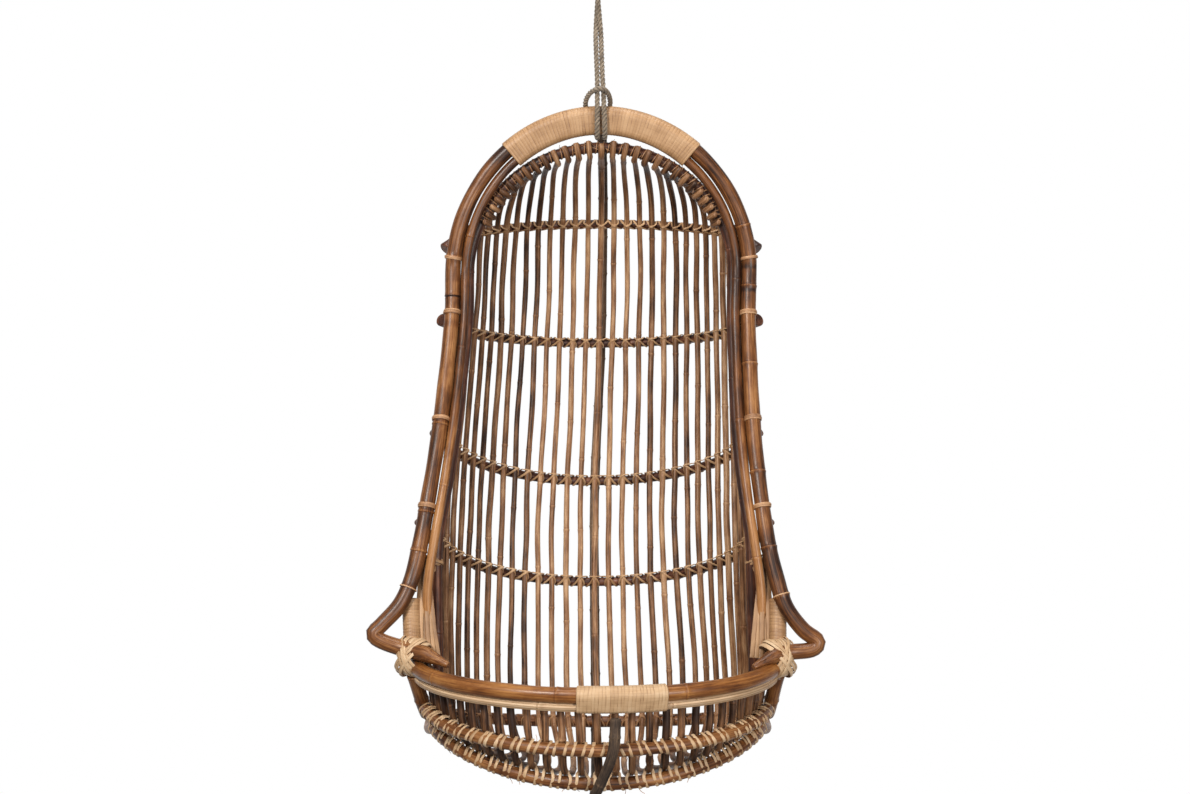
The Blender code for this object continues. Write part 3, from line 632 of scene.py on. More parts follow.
def cane_strand(strands, points, radius, ref, rng, tone=0.0, gaps=(0.14, 0.30), sides=12,
                spacing=0.008, swell=0.09, knots=None, fixed=(), sway=0.0, ridge=0.12, dark=0.8,
                shade=None, seams=(), scarf=0.0, knob=0.0, stains=(), profile=None):
    """A natural cane: nodes with a collar and a dark line, uneven thickness, soft ends."""
    fine, lengths, s = resample(points, spacing)
    total = lengths[-1]
    places = knot_places(total, rng, *gaps) if knots is None else knots
    marks = np.array([-0.007, -0.0035, -0.0016, -0.0006, 0.0006, 0.0020, 0.0045, 0.008])
    extra = [at + marks for at in places]
    ends = [0, 0.0007, 0.002, total - 0.002, total - 0.0007, total]
    s = np.unique(np.concatenate([s[(s > 0.004) & (s < total - 0.004)], ends, *extra]))
    s = s[(s >= 0) & (s <= total)]
    s = s[np.concatenate([[True], np.diff(s) > 0.0003])]
    path = np.stack([np.interp(s, lengths, fine[:, k]) for k in range(3)], 1)
    if fixed:
        path = path + wander(fine, lengths, s, fixed, ref, sway, rng)
    phase = rng.uniform(0, 6.28, 3)
    radii = radius * (0.975 + 0.022 * np.sin(s * 23 + phase[0]) + 0.018 * np.sin(s * 61 + phase[1]))
    knot = np.zeros_like(s)
    tone = np.full_like(s, tone)
    if shade is not None:
        tone = tone + shade(s / total)
    if profile is not None:
        radii = radii * profile(s / total)
    for at, half, depth in stains:
        tone = tone + depth * np.exp(-((s - at) / half) ** 2)
    for at in places:
        d = s - at
        tone += ridge * np.exp(-((d - 0.0008) / 0.0016) ** 2)
        radii = radii * (1 + swell * np.exp(-(d / 0.0042) ** 2) * np.where(d > 0, 1.0, 0.55))
        radii = radii * (1 - 0.05 * np.exp(-((d + 0.0012) / 0.0010) ** 2))
        knot = np.maximum(knot, dark * np.exp(-((d + 0.0016) / 0.0012) ** 2))
        knot = np.maximum(knot, 0.4 * dark * np.exp(-((d - 0.006) / 0.004) ** 2))
    reach = np.minimum(s, total - s)
    radii = radii * np.sqrt(np.clip(0.72 + 0.28 * reach / 0.002, 0, 1))
    radii = radii * (1 + knob * np.exp(-(reach / 0.016) ** 2))
    if scarf:
        cut = np.clip(1 - reach / scarf, 0, 1)
        radii = radii * (1 - 0.62 * cut)
        path = path - np.array([0, 0, 1]) * (radius * 0.78 * cut)[:, None]
    turn = around(sides)
    for at in seams:
        off = np.abs((turn - math.radians(at) + np.pi) % (2 * np.pi) - np.pi)
        line_at = 0.85 * np.exp(-(off / 0.22) ** 2)
        knot = np.maximum(knot if knot.ndim == 2 else knot[:, None], line_at[None])
    strands.add(path, ref, circle_outline(radii, sides), tone, knot, rng.uniform(0, 9))


def build_cane(name, replaced, look, kind, points, *shape, **how):
    """One cane as a piece of its own; what follows its points is as for cane_strand."""
    strands = Strands()
    cane_strand(strands, points, *shape, **how)
    strands.build(name, look, replaces=[replaced])


X_AXIS, Y_AXIS, Z_AXIS = (1, 0, 0), (0, 1, 0), (0, 0, 1)


def placed(points):
    return [place(*p) for p in points]


def transported(path, start):
    """Directions across the path that turn with it but never twist about it."""
    tangent = unit(np.gradient(path, axis=0))
    kept, last = [], np.asarray(start, float)
    for t in tangent:
        last = unit(last - t * (last @ t))
        kept.append(last)
    return np.array(kept)


def line(points, spacing):
    """Evenly spaced points on the curve through points, and their distances along it."""
    fine, lengths, s = resample(points, spacing)
    return np.stack([np.interp(s, lengths, fine[:, k]) for k in range(3)], 1), s


# ---- rope ----
HITCH = [
    (-0.0055, -0.0010, 0.6550), (-0.0058, -0.0120, 0.6074), (-0.0058, -0.0200, 0.5674),
    (-0.0058, -0.0222, 0.5274), (-0.0060, -0.0224, 0.5024), (-0.0064, -0.0195, 0.4814),
    (-0.0066, 0.0000, 0.4674), (-0.0090, 0.0195, 0.4814), (-0.0150, 0.0224, 0.5044),
    (-0.0250, 0.0190, 0.5214), (-0.0270, 0.0060, 0.5324), (-0.0195, -0.0160, 0.5434),
    (-0.0060, -0.0336, 0.5484), (0.0070, -0.0336, 0.5474), (0.0145, -0.0150, 0.5414),
    (0.0175, 0.0060, 0.5324), (0.0150, 0.0200, 0.5194), (0.0115, 0.0224, 0.5004),
    (0.0080, 0.0195, 0.4814), (0.0066, 0.0000, 0.4674), (0.0064, -0.0195, 0.4814),
    (0.0060, -0.0224, 0.5024), (0.0058, -0.0222, 0.5274), (0.0058, -0.0200, 0.5674),
    (0.0058, -0.0120, 0.6074), (0.0055, 0.0010, 0.6550),
]
SPLICE_LEVEL = 0.738
WHIPPING_LENGTH = 0.030
ROPE_TURN = LINK_WIRE + ROPE_RADIUS + GAP
ROPE_PITCH = 0.024
HITCH_TOP_LEVEL = 0.555
FALL_REACH = 0.0068
FALL_LEVELS = [0.50, 0.545, 0.57]
FALL_SHARES = [1.08, 0.95, 0.80]


def rope_route():
    """From one end at the splice, through the hitch, and over the link to the splice."""
    over = [
        Vector((0, ROPE_TURN * math.cos(math.pi * k / 6), SWING_LEVEL - MID_LEVEL
                + ROPE_TURN * math.sin(math.pi * k / 6)))
        for k in range(7)
    ]
    below = SPLICE_LEVEL - 0.75 * WHIPPING_LENGTH
    first = [Vector((0, ROPE_TURN, SPLICE_LEVEL)), Vector((0, ROPE_TURN, below))]
    last = [Vector((0, -ROPE_TURN, below)), Vector((0, -ROPE_TURN, SPLICE_LEVEL))]
    end = Vector((0, ROPE_TURN, SPLICE_LEVEL + 0.001))
    return smooth([*first, *(Vector(p) for p in HITCH), *last, *over[::-1], end], 2)


def rope_place(point):
    """Closes the falls above the hitch, and hangs the rope straight from splice to hitch."""
    if abs(point.x) < FALL_REACH and point.y > -0.030 and point.z > 0.47:
        share = float(np.interp(point.z, FALL_LEVELS, FALL_SHARES))
        point = Vector((point.x * share, point.y, point.z))
    free = (SPLICE_LEVEL - point.z) / (SPLICE_LEVEL - HITCH_TOP_LEVEL)
    free = max(min(free, 1.0), 0.0)
    moved = place(*point) - Vector((0, 0, MID_LEVEL)) - point
    return point + moved * free + Vector((0, 0, MID_LEVEL))


def add_rope():
    """Three strands laid together, as one tube with twisting lobes, and its whipping."""
    rng = np.random.default_rng(11)
    path, s = line([rope_place(p) for p in rope_route()], 0.0012)
    sides = 24
    turn = around(sides)
    twist = 2 * np.pi * s / ROPE_PITCH
    phi = (turn[None] - twist[:, None] + np.pi / 3) % (2 * np.pi / 3) - np.pi / 3
    centre, thick = 0.46, 0.54
    radii = centre * np.cos(phi) + np.sqrt(thick**2 - (centre * np.sin(phi)) ** 2)
    # How deep each point lies in a groove between the strands; squared, it darkens the grooves as
    # painted shade.
    deep = (1 - radii) / (1 - radii.min())
    radii = radii * ROPE_RADIUS * (1 + 0.02 * rng.standard_normal((len(s), 1)))
    outline = np.stack([radii * np.cos(turn), radii * np.sin(turn)], 2)
    strands = Strands()
    which = ((turn[None] - twist[:, None] + np.pi / 3) // (2 * np.pi / 3)) % 3
    tone = np.array([0.03, -0.03, 0.0])[which.astype(int)]
    strands.add(path, transported(path, X_AXIS), outline, tone, deep**2)
    rope = strands.build("laid_rope", HEMP, replaces=["rope"], angle=80)
    whipping = Strands()
    half = WHIPPING_LENGTH / 2
    z = np.arange(-half, half + 1e-6, 0.0003) + SPLICE_LEVEL + MID_LEVEL
    post = np.stack([np.zeros_like(z), np.full_like(z, ROPE_TURN), z], 1)
    part = ((z - z[0]) / 0.0016) % 1
    bulge = ROPE_RADIUS + 1.5 * GAP + 0.0008 + 0.0005 * np.sin(np.pi * part)
    # Darker at the edges of each turn, in the dips between turns: painted shade.
    whipping.add(post, X_AXIS, circle_outline(bulge, 24), 0.08, np.abs(2 * part - 1) ** 4)
    wound = whipping.build("rope_whipping", HEMP, replaces=["splice_whipping"])
    every = path[:: 4]
    every = np.concatenate([every, path[-1:]])


add_rope()


# ---- canes ----
def rim_route():
    """Left arm, left leg, arch, right leg, right arm."""
    return [*mirrored(LEFT_ARM)[::-1], *mirrored(LEG)[::-1], *arch_run(arch_point),
            *vectors(LEG), *vectors(RIGHT_ARM)]


def side_leg(inward, behind, foot):
    """A pole that follows the rim pole's leg, and then its own way down to its foot."""
    beside = [Vector((x - inward, y + behind, z)) for x, y, z in LEG[:6]]
    return [*beside, *(Vector(p) for p in foot)]


PAIR_DISTANCE = MAIN_RADIUS + SECOND_RADIUS + GAP


def second_arch(angle):
    return arch_point(angle, PAIR_DISTANCE)


SECOND_LEG = side_leg(PAIR_DISTANCE, 0.001, [(0.288, -0.160, -0.340), (0.2845, -0.166, -0.446)])
HOOP_LEG = side_leg(0.0275, 0.0225, [(0.2745, -0.134, -0.340), (0.2755, -0.137, -0.520)])


def inner_pole_route(arch, leg):
    return [*mirrored(leg)[::-1], *arch, *leg]


RIM_NODES = [(-1, -0.647), (-1, -0.719), (-1, -0.751), (-1, -0.952), (-1, -1.102), (-1, -1.168),
             (-1, -1.226), (1, -0.590), (1, -0.700), (1, -0.836), (1, -1.030), (1, -1.160),
             (1, -1.242)]


def nearest(points, side, height):
    """Index of the point nearest to a height, on the left (-1) or the right (1)."""
    far_side = np.where(points[:, 0] * side < 0, 9, 0)
    return int(np.argmin(np.abs(points[:, 2] - height) + far_side))


def knots_at(route, nodes):
    """Distances along a route at which it passes the given (side, height) places."""
    fine, lengths, _ = resample(route, 0.01)
    return sorted(float(lengths[nearest(fine, side, height)]) for side, height in nodes)


def rim_shade(t):
    """Along the rim pole: bright returns, dark elbows, warm legs, dark shoulders."""
    from_end = np.minimum(t, 1 - t)
    return np.interp(from_end, [0, 0.05, 0.075, 0.11, 0.14, 0.20, 0.30, 0.36, 0.42, 0.5],
                     [0.02, 0.00, -0.24, -0.32, -0.02, 0.02, 0.05, -0.12, -0.22, -0.12])


def second_shade(t):
    """Dark beside the hood, paler down the legs."""
    return np.interp(abs(t - 0.5), [0, 0.10, 0.16, 0.28, 0.34, 0.40, 0.5],
                     [-0.1, -0.20, -0.34, -0.26, -0.06, 0.30, 0.34])


RIM_STAINS = [(-1, -0.719, 0.0020, -0.80), (-1, -0.690, 0.022, -0.15), (-1, -0.734, 0.010, -0.20),
              (-1, -0.768, 0.006, -0.22), (-1, -0.700, 0.003, 0.16), (-1, -0.860, 0.050, 0.10),
              (-1, -1.020, 0.040, -0.10), (-1, -1.120, 0.016, -0.16), (1, -0.700, 0.030, -0.14),
              (1, -0.662, 0.0030, -0.60), (1, -0.712, 0.0025, -0.50), (1, -0.752, 0.003, 0.30),
              (1, -0.905, 0.045, 0.12), (1, -1.000, 0.014, -0.18), (1, -1.110, 0.050, -0.10)]


def stains_at(route, stains):
    """The stains (side, height, half length, depth) as distances along a route."""
    return [(knots_at(route, [(side, height)])[0], half, depth)
            for side, height, half, depth in stains]


def add_rim():
    rng = np.random.default_rng(3)
    route = placed(rim_route())
    build_cane("cane_rim", "main_rim_pole", MAIN_CANE, "manau_pole", route, MAIN_RADIUS, Y_AXIS,
               rng, sides=24, spacing=0.006, swell=0.085, knots=knots_at(route, RIM_NODES),
               ridge=0.30, dark=0.9, shade=rim_shade, scarf=0.050,
               stains=stains_at(route, RIM_STAINS))
    route = placed(inner_pole_route(arch_run(second_arch), SECOND_LEG))
    build_cane("cane_rim_second", "second_rim_pole", MAIN_CANE, "manau_pole", route,
               SECOND_RADIUS, Y_AXIS, rng, 0.08, (0.18, 0.34), 18, 0.006, 0.06,
               shade=second_shade, seams=(60, 250))
    route = placed(inner_pole_route(arch_run(inner_hoop_point), HOOP_LEG))
    build_cane("cane_inner_hoop", "inner_hoop", DARK_CANE, "dark_cane", route, HOOP_LOOK_RADIUS,
               Y_AXIS, rng, -0.04, (0.16, 0.30), 18, 0.006, 0.06)


def spindle_shade(t):
    return np.interp(t, [0, 0.06, 0.14, 0.80, 0.88, 1.0], [-0.06, -0.10, 0.0, 0.0, -0.22, -0.28])


def spindle_profile(t):
    return np.interp(t, [0, 0.84, 0.93, 1.0], [1.0, 1.0, 1.16, 1.16])


def add_spindles():
    rng = np.random.default_rng(29)
    tones = rng.uniform(-0.15, 0.17, 2 * PER_SIDE + 1)
    for number, tone in ((9, -0.26), (10, -0.20), (21, -0.20), (20, 0.16), (13, 0.16), (16, 0.14)):
        tones[number - 1] = tone
    for i in range(-PER_SIDE, PER_SIDE + 1):
        u = i / PER_SIDE
        number = i + PER_SIDE + 1
        stations = placed(spindle_stations(u))
        held = [stations[1], stations[3], *stations[6:]]
        thick = SPINDLE_RADIUS * rng.uniform(0.88, 1.02)
        build_cane(f"cane_spindle_{number:02d}", f"spindle_{number:02d}", SPINDLE_CANE,
                   "spindle_cane", stations, thick, X_AXIS, rng, tones[number - 1], (0.13, 0.27),
                   12, 0.007, 0.13, fixed=held, sway=SPINDLE_SWAY, shade=spindle_shade,
                   profile=spindle_profile)


def band_route(name):
    """A back hoop through its crossings, with its ends beside the rim pole."""
    tip = Vector(BAND_TIPS[name])
    route = hoop_route(name, BAND_RADIUS, 1 + 1e-6)[1:-1]
    if name in ("band_3", "band_4"):
        tip = tip - (tip - route[-1]).normalized() * LOW_BAND_CUT
    return [*mirrored([tip]), *route, tip]


def add_bands():
    rng = np.random.default_rng(5)
    for name in BAND_TIPS:
        build_cane(f"cane_{name}", name, DARK_CANE, "dark_cane", placed(band_route(name)),
                   BAND_RADIUS, Z_AXIS, rng, rng.uniform(-0.04, 0.06), (0.11, 0.21), 16, 0.006,
                   0.08, knob=0.52 if name in ("band_1", "band_2") else 0.0)


RING_SIDE = Vector((0.2950, -0.117, -0.580))
RAIL_ROUTE = hoop_route("rail", FRONT_RAIL_RADIUS, 1.10, PEEL + GAP)
UNDER_ROUTE = [p - Vector((0, 0, FRONT_RAIL_RADIUS + UNDER_CANE_RADIUS + GAP)) for p in RAIL_ROUTE]
APRON_REACH = 0.96
APRON_ROUTE = hoop_route("apron", RING_RADIUS, APRON_REACH)
UNDER_STRIPS = [(-0.0034, 0.0, 0.0036, 0.0), (0.0004, 0.0026, 0.0038, 0.10),
                (0.0036, 0.0004, 0.0034, -0.10)]


def seat_ring_route():
    distance = SPINDLE_RADIUS + RING_RADIUS + GAP
    us = [i / PER_SIDE for i in range(-PER_SIDE, PER_SIDE + 1)]
    back = [outside("seat_back", u, distance) for u in us]
    front = [outside("seat_front", u, distance) for u in us[::-1]]
    return [*back, RING_SIDE, *front, *mirrored([RING_SIDE])]


def add_seat():
    rng = np.random.default_rng(7)
    ring = placed(seat_ring_route())
    loop = array(smooth([*ring[-3:], *ring, *ring[:3]], 4))
    loop = loop[12:12 + 4 * len(ring)]
    strands = Strands()
    count = len(loop)
    knot = np.zeros(count)
    radii = np.full(count, RING_RADIUS * 0.985)
    for at in rng.choice(count, 8, replace=False):
        radii[at] *= 1.07
        knot[at] = 0.8
    strands.add(loop, Z_AXIS, circle_outline(radii, 18), 0.02, knot, closed=True)
    strands.build("cane_seat_ring", MAIN_CANE, replaces=["seat_ring"])
    build_cane("cane_front_rail", "front_rail", AMBER_CANE, "manau_pole", placed(RAIL_ROUTE),
               FRONT_RAIL_RADIUS, Z_AXIS, rng, 0.04, (0.17, 0.30), 18, 0.005, 0.06)
    strands = Strands()
    # Their tone is raised by 0.14: partly the strips' own paler peel, partly painted light that lifts
    # them out of the shade under the front rail.
    for drop, out, size, tone in UNDER_STRIPS:
        strip = [p - Vector((0, out, drop)) for p in UNDER_ROUTE]
        cane_strand(strands, placed(strip), size, Z_AXIS, rng, 0.14 + tone, (0.15, 0.26), 12,
                    0.005, 0.05, seams=(90, 270))
    strands.build("cane_front_under", STRAW_PEEL, replaces=["front_under_cane"])
    build_cane("cane_apron_rail", "apron_rail", MAIN_CANE, "manau_pole", placed(APRON_ROUTE),
               RING_RADIUS, Z_AXIS, rng, 0.06, (0.17, 0.30), 18, 0.005, 0.06)


POST = [(0.2970, -0.138, -0.552), (0.3000, -0.157, -0.533), (0.3075, -0.185, -0.4905),
        (0.3112, -0.1975, -0.4720)]
BRACE = [(0.3150, -0.158, -0.356), (0.3135, -0.172, -0.390), (0.3110, -0.186, -0.418)]


def sides():
    """Each side's name, the sign of its x, and what turns right-hand points into its own."""
    return (("left", -1, mirrored), ("right", 1, vectors))


def add_posts():
    rng = np.random.default_rng(13)
    for side, _, flip in sides():
        for label, route, radius in (("corner_post", POST, POST_RADIUS * 1.16),
                                     ("arm_brace", BRACE, BRACE_RADIUS)):
            points = placed(smooth(flip(route)))
            build_cane(f"cane_{label}_{side}", f"{label}_{side}", MAIN_CANE, "manau_pole", points,
                       radius, X_AXIS, rng, -0.06, (0.1, 0.2), 16, 0.004, 0.10,
                       knots=[0.042] if label == "corner_post" else [])


def spine_route():
    def out(name, u, hoop_radius):
        reach = SPINDLE_RADIUS + 2 * hoop_radius + SPINE_RADIUS + 3 * GAP
        return outside(name, u, reach)

    top = [Vector((0.002, 0.036, 0.4715)), Vector((0.003, 0.125, 0.4550))]
    back = [out(name, 0.01, BAND_RADIUS) for name in ("band_1", "band_2")]
    back += [out(name, 0.0, BAND_RADIUS) for name in ("band_3", "band_4")]
    seat = [out("seat_back", -0.01, RING_RADIUS), out("under_seat", -0.02, RING_RADIUS)]
    front = [out("seat_front", -0.02, RING_RADIUS), out("apron", 0.052, RING_RADIUS)]
    return [*top, *back, *seat, *front, front[-1] + Vector((0.008, 0.0, 0.060))]


def spine_shade(t):
    """Dark at the hood, lighter brown down the back, dark again under the seat."""
    return np.interp(t, [0, 0.11, 0.14, 0.42, 0.56, 0.68, 1.0],
                     [0.0, 0.0, 0.34, 0.36, 0.22, 0.0, 0.0])


def add_spine():
    rng = np.random.default_rng(17)
    build_cane("cane_spine", "spine", BARK, "dark_cane", placed(spine_route()),
               SPINE_RADIUS * 1.06, X_AXIS, rng, 0.0, (0.06, 0.12), 18, 0.004, 0.12,
               shade=spine_shade, seams=(20, 160, 250))


add_rim()
add_spindles()
add_bands()
add_seat()
add_posts()
add_spine()


# ---- wound peel ----
def pair_points(first, second, distance, near=18, far=10):
    """Outline round two circles, and its outward directions; the second circle is at -d."""
    beta = math.acos(min(1.0, (first - second) / distance))
    big = np.linspace(beta, 2 * np.pi - beta, near)
    small = np.linspace(-beta, beta, far)
    turns = np.concatenate([big, small])
    normals = np.stack([-np.cos(turns), -np.sin(turns)], 1)
    points = normals * np.where(np.arange(near + far) < near, first, second)[:, None]
    points[near:, 0] -= distance
    side = np.linspace(0, 1, 5)[1:-1, None]
    gap_a = points[near - 1] + (points[near] - points[near - 1]) * side
    gap_b = points[-1] + (points[0] - points[-1]) * side
    points = np.concatenate([points[:near], gap_a, points[near:], gap_b])
    normals = np.concatenate([normals[:near], np.repeat(normals[near - 1:near], 3, 0),
                              normals[near:], np.repeat(normals[:1], 3, 0)])
    return points, normals


def windings(strands, path, refs, points, normals, width, base, rng, tone=0.0,
             crown=0.0004, ragged=0.0007, uneven=0.05):
    """Strips of peel wound side by side along path, each with a crown and a dark seam."""
    step = np.linalg.norm(np.diff(path, axis=0), axis=1)
    s = np.concatenate([[0], np.cumsum(step)])
    sides = len(points)
    turn = np.arange(sides) / sides
    wave = ragged * (np.sin(s * 170 + 1) + 0.7 * np.sin(s * 410 + 2))
    at = s[:, None] + wave[:, None] + width * (turn - 0.5)[None] + width
    at = at + ragged * 0.8 * np.sin(turn * 6.28 * 2 + 1)[None] * np.sin(s * 90)[:, None]
    strip = np.floor(at / width)
    part = at / width - strip
    tones = rng.uniform(-uneven, uneven, int(strip.max()) + 2)
    near_end = np.minimum(s, s[-1] - s)
    taper = np.sqrt(np.clip(near_end / 0.0015, 0, 1))[:, None]
    lift = base * (0.35 + 0.65 * taper) + crown * (1 - np.abs(2 * part - 1) ** 3) * taper
    outline = points[None] + normals[None] * lift[:, :, None]
    seam = np.exp(-(np.minimum(part, 1 - part) * width / 0.00045) ** 2)
    broken = rng.uniform(-0.55, 1.0, (int(strip.max()) + 2, 7))
    piece = (turn * 6.999).astype(int)[None].repeat(len(s), 0)
    seam *= 0.35 + 0.65 * np.clip(broken[strip.astype(int), piece], 0, 1)
    strands.add(path, refs, outline, tone + tones[strip.astype(int)], np.clip(seam, 0, 1))


def round_points(radius, sides=24):
    turn = around(sides)
    normals = np.stack([np.cos(turn), np.sin(turn)], 1)
    return normals * radius, normals


def add_wraps():
    rng = np.random.default_rng(23)
    reach = 7 * math.pi / ARCH_STEPS
    angles = np.linspace(-reach, reach, 420)
    rim = array(place(*arch_point(a)) for a in angles)
    second = array(place(*second_arch(a)) for a in angles)
    strands = Strands()
    points, normals = pair_points(MAIN_RADIUS, SECOND_RADIUS + 0.0012, PAIR_DISTANCE + 0.0008)
    windings(strands, rim, rim - second, points, normals, 0.0062, GAP + PEEL - 0.0002, rng, 0.05)
    strands.build("peel_arch_wrap", PALE_PEEL, replaces=["arch_wrap"])

    front, below = smooth(RAIL_ROUTE, 8), smooth(UNDER_ROUTE, 8)
    covered = [i for i, p in enumerate(front) if FRONT_WRAP_LEFT < p.x < FRONT_WRAP_RIGHT]
    rail, _ = line(placed([front[i] for i in covered]), WINDING_STEP)
    under, _ = line(placed([below[i] for i in covered]), WINDING_STEP)
    count = min(len(rail), len(under))
    rail, under = rail[:count], under[:count]
    distance = FRONT_RAIL_RADIUS + UNDER_CANE_RADIUS + GAP
    points, normals = pair_points(FRONT_RAIL_RADIUS, UNDER_CANE_RADIUS + 0.0016, distance)
    strands = Strands()
    windings(strands, rail, rail - under, points, normals, 0.0058, GAP + PEEL - 0.0002, rng, 0.05)
    strands.build("peel_front_wrap", STRAW_PEEL, replaces=["front_wrap"])

    for side, _, flip in sides():
        path, _ = line(placed(flip(BRACE_BUNDLE)), WINDING_STEP)
        points, normals = round_points(BRACE_RADIUS + 0.0040)
        strands = Strands()
        windings(strands, path, X_AXIS, points, normals, 0.0058, GAP + 2 * PEEL, rng)
        for route in bundle_strips(rng):
            path, _ = line(placed(flip(route)), 0.004)
            strands.add(path, Y_AXIS, strip_outline(0.0082, 0.0034, 12), rng.uniform(-0.18, 0.08))
        strands.build(f"peel_brace_wrap_{side}", PALE_PEEL,
                      replaces=[f"brace_wrap_{side}"])


WINDING_STEP = 0.0009
BRACE_BUNDLE = [(0.3165, -0.160, -0.348), (0.3145, -0.172, -0.390), (0.3120, -0.188, -0.436)]


def bundle_strips(rng):
    """Split cane that runs from the leg above the arm down to the corner lashing."""
    routes = []
    for k in range(6):
        top = Vector((0.3005 - 0.0020 * k, -0.134 - 0.003 * (k % 2), -0.292))
        foot = Vector((0.3060 - 0.0076 * k, -0.192 + 0.003 * (k % 3), -0.446))
        neck = top.lerp(foot, 0.35) + Vector((rng.uniform(-0.001, 0.001), -0.004, 0))
        waist = top.lerp(foot, 0.70) + Vector((rng.uniform(-0.001, 0.001), -0.003, 0))
        routes.append([top, neck, waist, foot])
    return routes


# ---- lashings ----
def strip_outline(width, thickness, sides=8):
    """Section of a flat strip of peel with rounded edges."""
    turn = around(sides) + np.pi / sides
    power = 0.7
    c, s = np.cos(turn), np.sin(turn)
    return np.stack([np.sign(c) * np.abs(c) ** power * thickness / 2,
                     np.sign(s) * np.abs(s) ** power * width / 2], 1)


def closed_line(points, steps):
    """A smooth closed curve through points, without its last point repeated."""
    points = [*points[-2:], *points, *points[:2]]
    route = smooth(points, steps)
    return array(route[2 * steps:-2 * steps])[:-1]


def lash(strands, frame_at, places, centre, width, thickness, rng, tone=0.0, steps=3):
    """A closed strip through places (t, n, s) of a frame; its flat side faces centre."""
    origin, t, n, up = frame_at
    world = [place(*(origin + t * a + n * b + up * c)) for a, b, c in places]
    middle = np.array(tuple(place(*(origin + t * centre[0] + n * centre[1] + up * centre[2]))))
    path = closed_line(world, steps)
    aim = path - middle
    along = np.array(tuple(t))
    aim = aim - (aim @ along)[:, None] * along * 0.8
    strands.add(path, aim, strip_outline(width, thickness), tone + rng.uniform(-0.12, 0.12),
                0.0, rng.uniform(0, 9), closed=True)


def crossing_frame(name, u):
    """A crossing's place, and the directions along the hoop, outwards and up."""
    small = 0.01
    origin = station_point(name, u)
    t = (station_point(name, u + small) - station_point(name, u - small)).normalized()
    n = outward(name, u)
    up = n.cross(t).normalized()
    if name in ("under_seat", "seat_back"):
        return origin, t, n, up
    return origin, t, n, up if up.z > 0 else -up


def crossing_places(radius, side, high, spread, rng):
    """A square lashing: two strips over the hoop's outer side, a cross on the spindle."""
    mm = 0.001
    d = SPINDLE_RADIUS + radius + GAP
    over = radius + 0.7 * mm
    face = SPINDLE_RADIUS + 0.7 * mm
    half = (SPINDLE_RADIUS + spread * mm) * rng.uniform(0.9, 1.1)
    lean_by = rng.uniform(2.6, 4.6) * mm * side
    places = []
    for a, front in ((half, -face), (-half, -face - 0.9 * mm)):
        places += [(a - lean_by, d, -over), (0.75 * a, d - radius - 2.5 * mm, -over * 0.5),
                   (0, front, high), (-0.70 * a, 1.5 * mm, min(high + 3 * mm, 0.8 * over)),
                   (-a + lean_by, d - 0.4 * radius, over + 0.4 * mm),
                   (-a, d + over * 0.92, 0.3 * over),
                   (-a - lean_by, d + over * 0.75, -0.66 * over)]
    return places


def add_crossings():
    rng = np.random.default_rng(31)
    for name, radius, width, high, spread, look, tone in (
        ("band_1", BAND_RADIUS, 3.6, 2.5, 4.8, PALE_PEEL, 0.12),
        ("band_2", BAND_RADIUS, 3.6, 3.0, 4.8, PALE_PEEL, 0.14),
        ("band_3", BAND_RADIUS, 4.0, 4.6, 5.4, PALE_PEEL, 0.16),
        ("band_4", BAND_RADIUS, 4.0, 4.6, 5.4, PALE_PEEL, 0.16),
        ("seat_back", RING_RADIUS, 3.0, 2.0, 3.0, LASH_PEEL, 0.0),
        ("seat_front", RING_RADIUS, 5.4, 2.0, 3.4, STRAW_PEEL, 0.06),
        ("apron", RING_RADIUS, 5.4, 2.0, 3.4, STRAW_PEEL, 0.06),
    ):
        strands = Strands()
        for i in range(-PER_SIDE, PER_SIDE + 1):
            u = i / PER_SIDE
            if name == "apron" and abs(u) > APRON_REACH:
                continue
            side = -1 if u > 0 else 1
            places = crossing_places(radius, side, high * 0.001, spread, rng)
            centre = (0, SPINDLE_RADIUS + radius * 0.5, 0)
            lash(strands, crossing_frame(name, u), places, centre,
                 width * 0.001 * rng.uniform(0.85, 1.1), 0.0016, rng, tone)
        strands.build(f"peel_ties_{name}", look)


def add_hoop_ties():
    """Fine peel wound round the inner hoop, a turn or more between neighbouring spindles."""
    rng = np.random.default_rng(37)
    strands = Strands()
    turns = 4 * PER_SIDE
    count = turns * 14
    us = np.linspace(-1, 1, count)
    spin = np.linspace(0, 2 * np.pi * turns, count)
    path, aims = [], []
    for angle, turn in zip(hoop_angle(us), spin, strict=True):
        aim = arch_inwards(angle) * math.cos(turn) - BACK * math.sin(turn)
        path.append(tuple(place(*(inner_hoop_point(angle) + aim * (HOOP_LOOK_RADIUS + 0.0006)))))
        aims.append(tuple(aim))
    strands.add(np.array(path), np.array(aims), strip_outline(0.0020, 0.0010), 0.0)
    strands.build("peel_ties_hoop", LASH_PEEL)


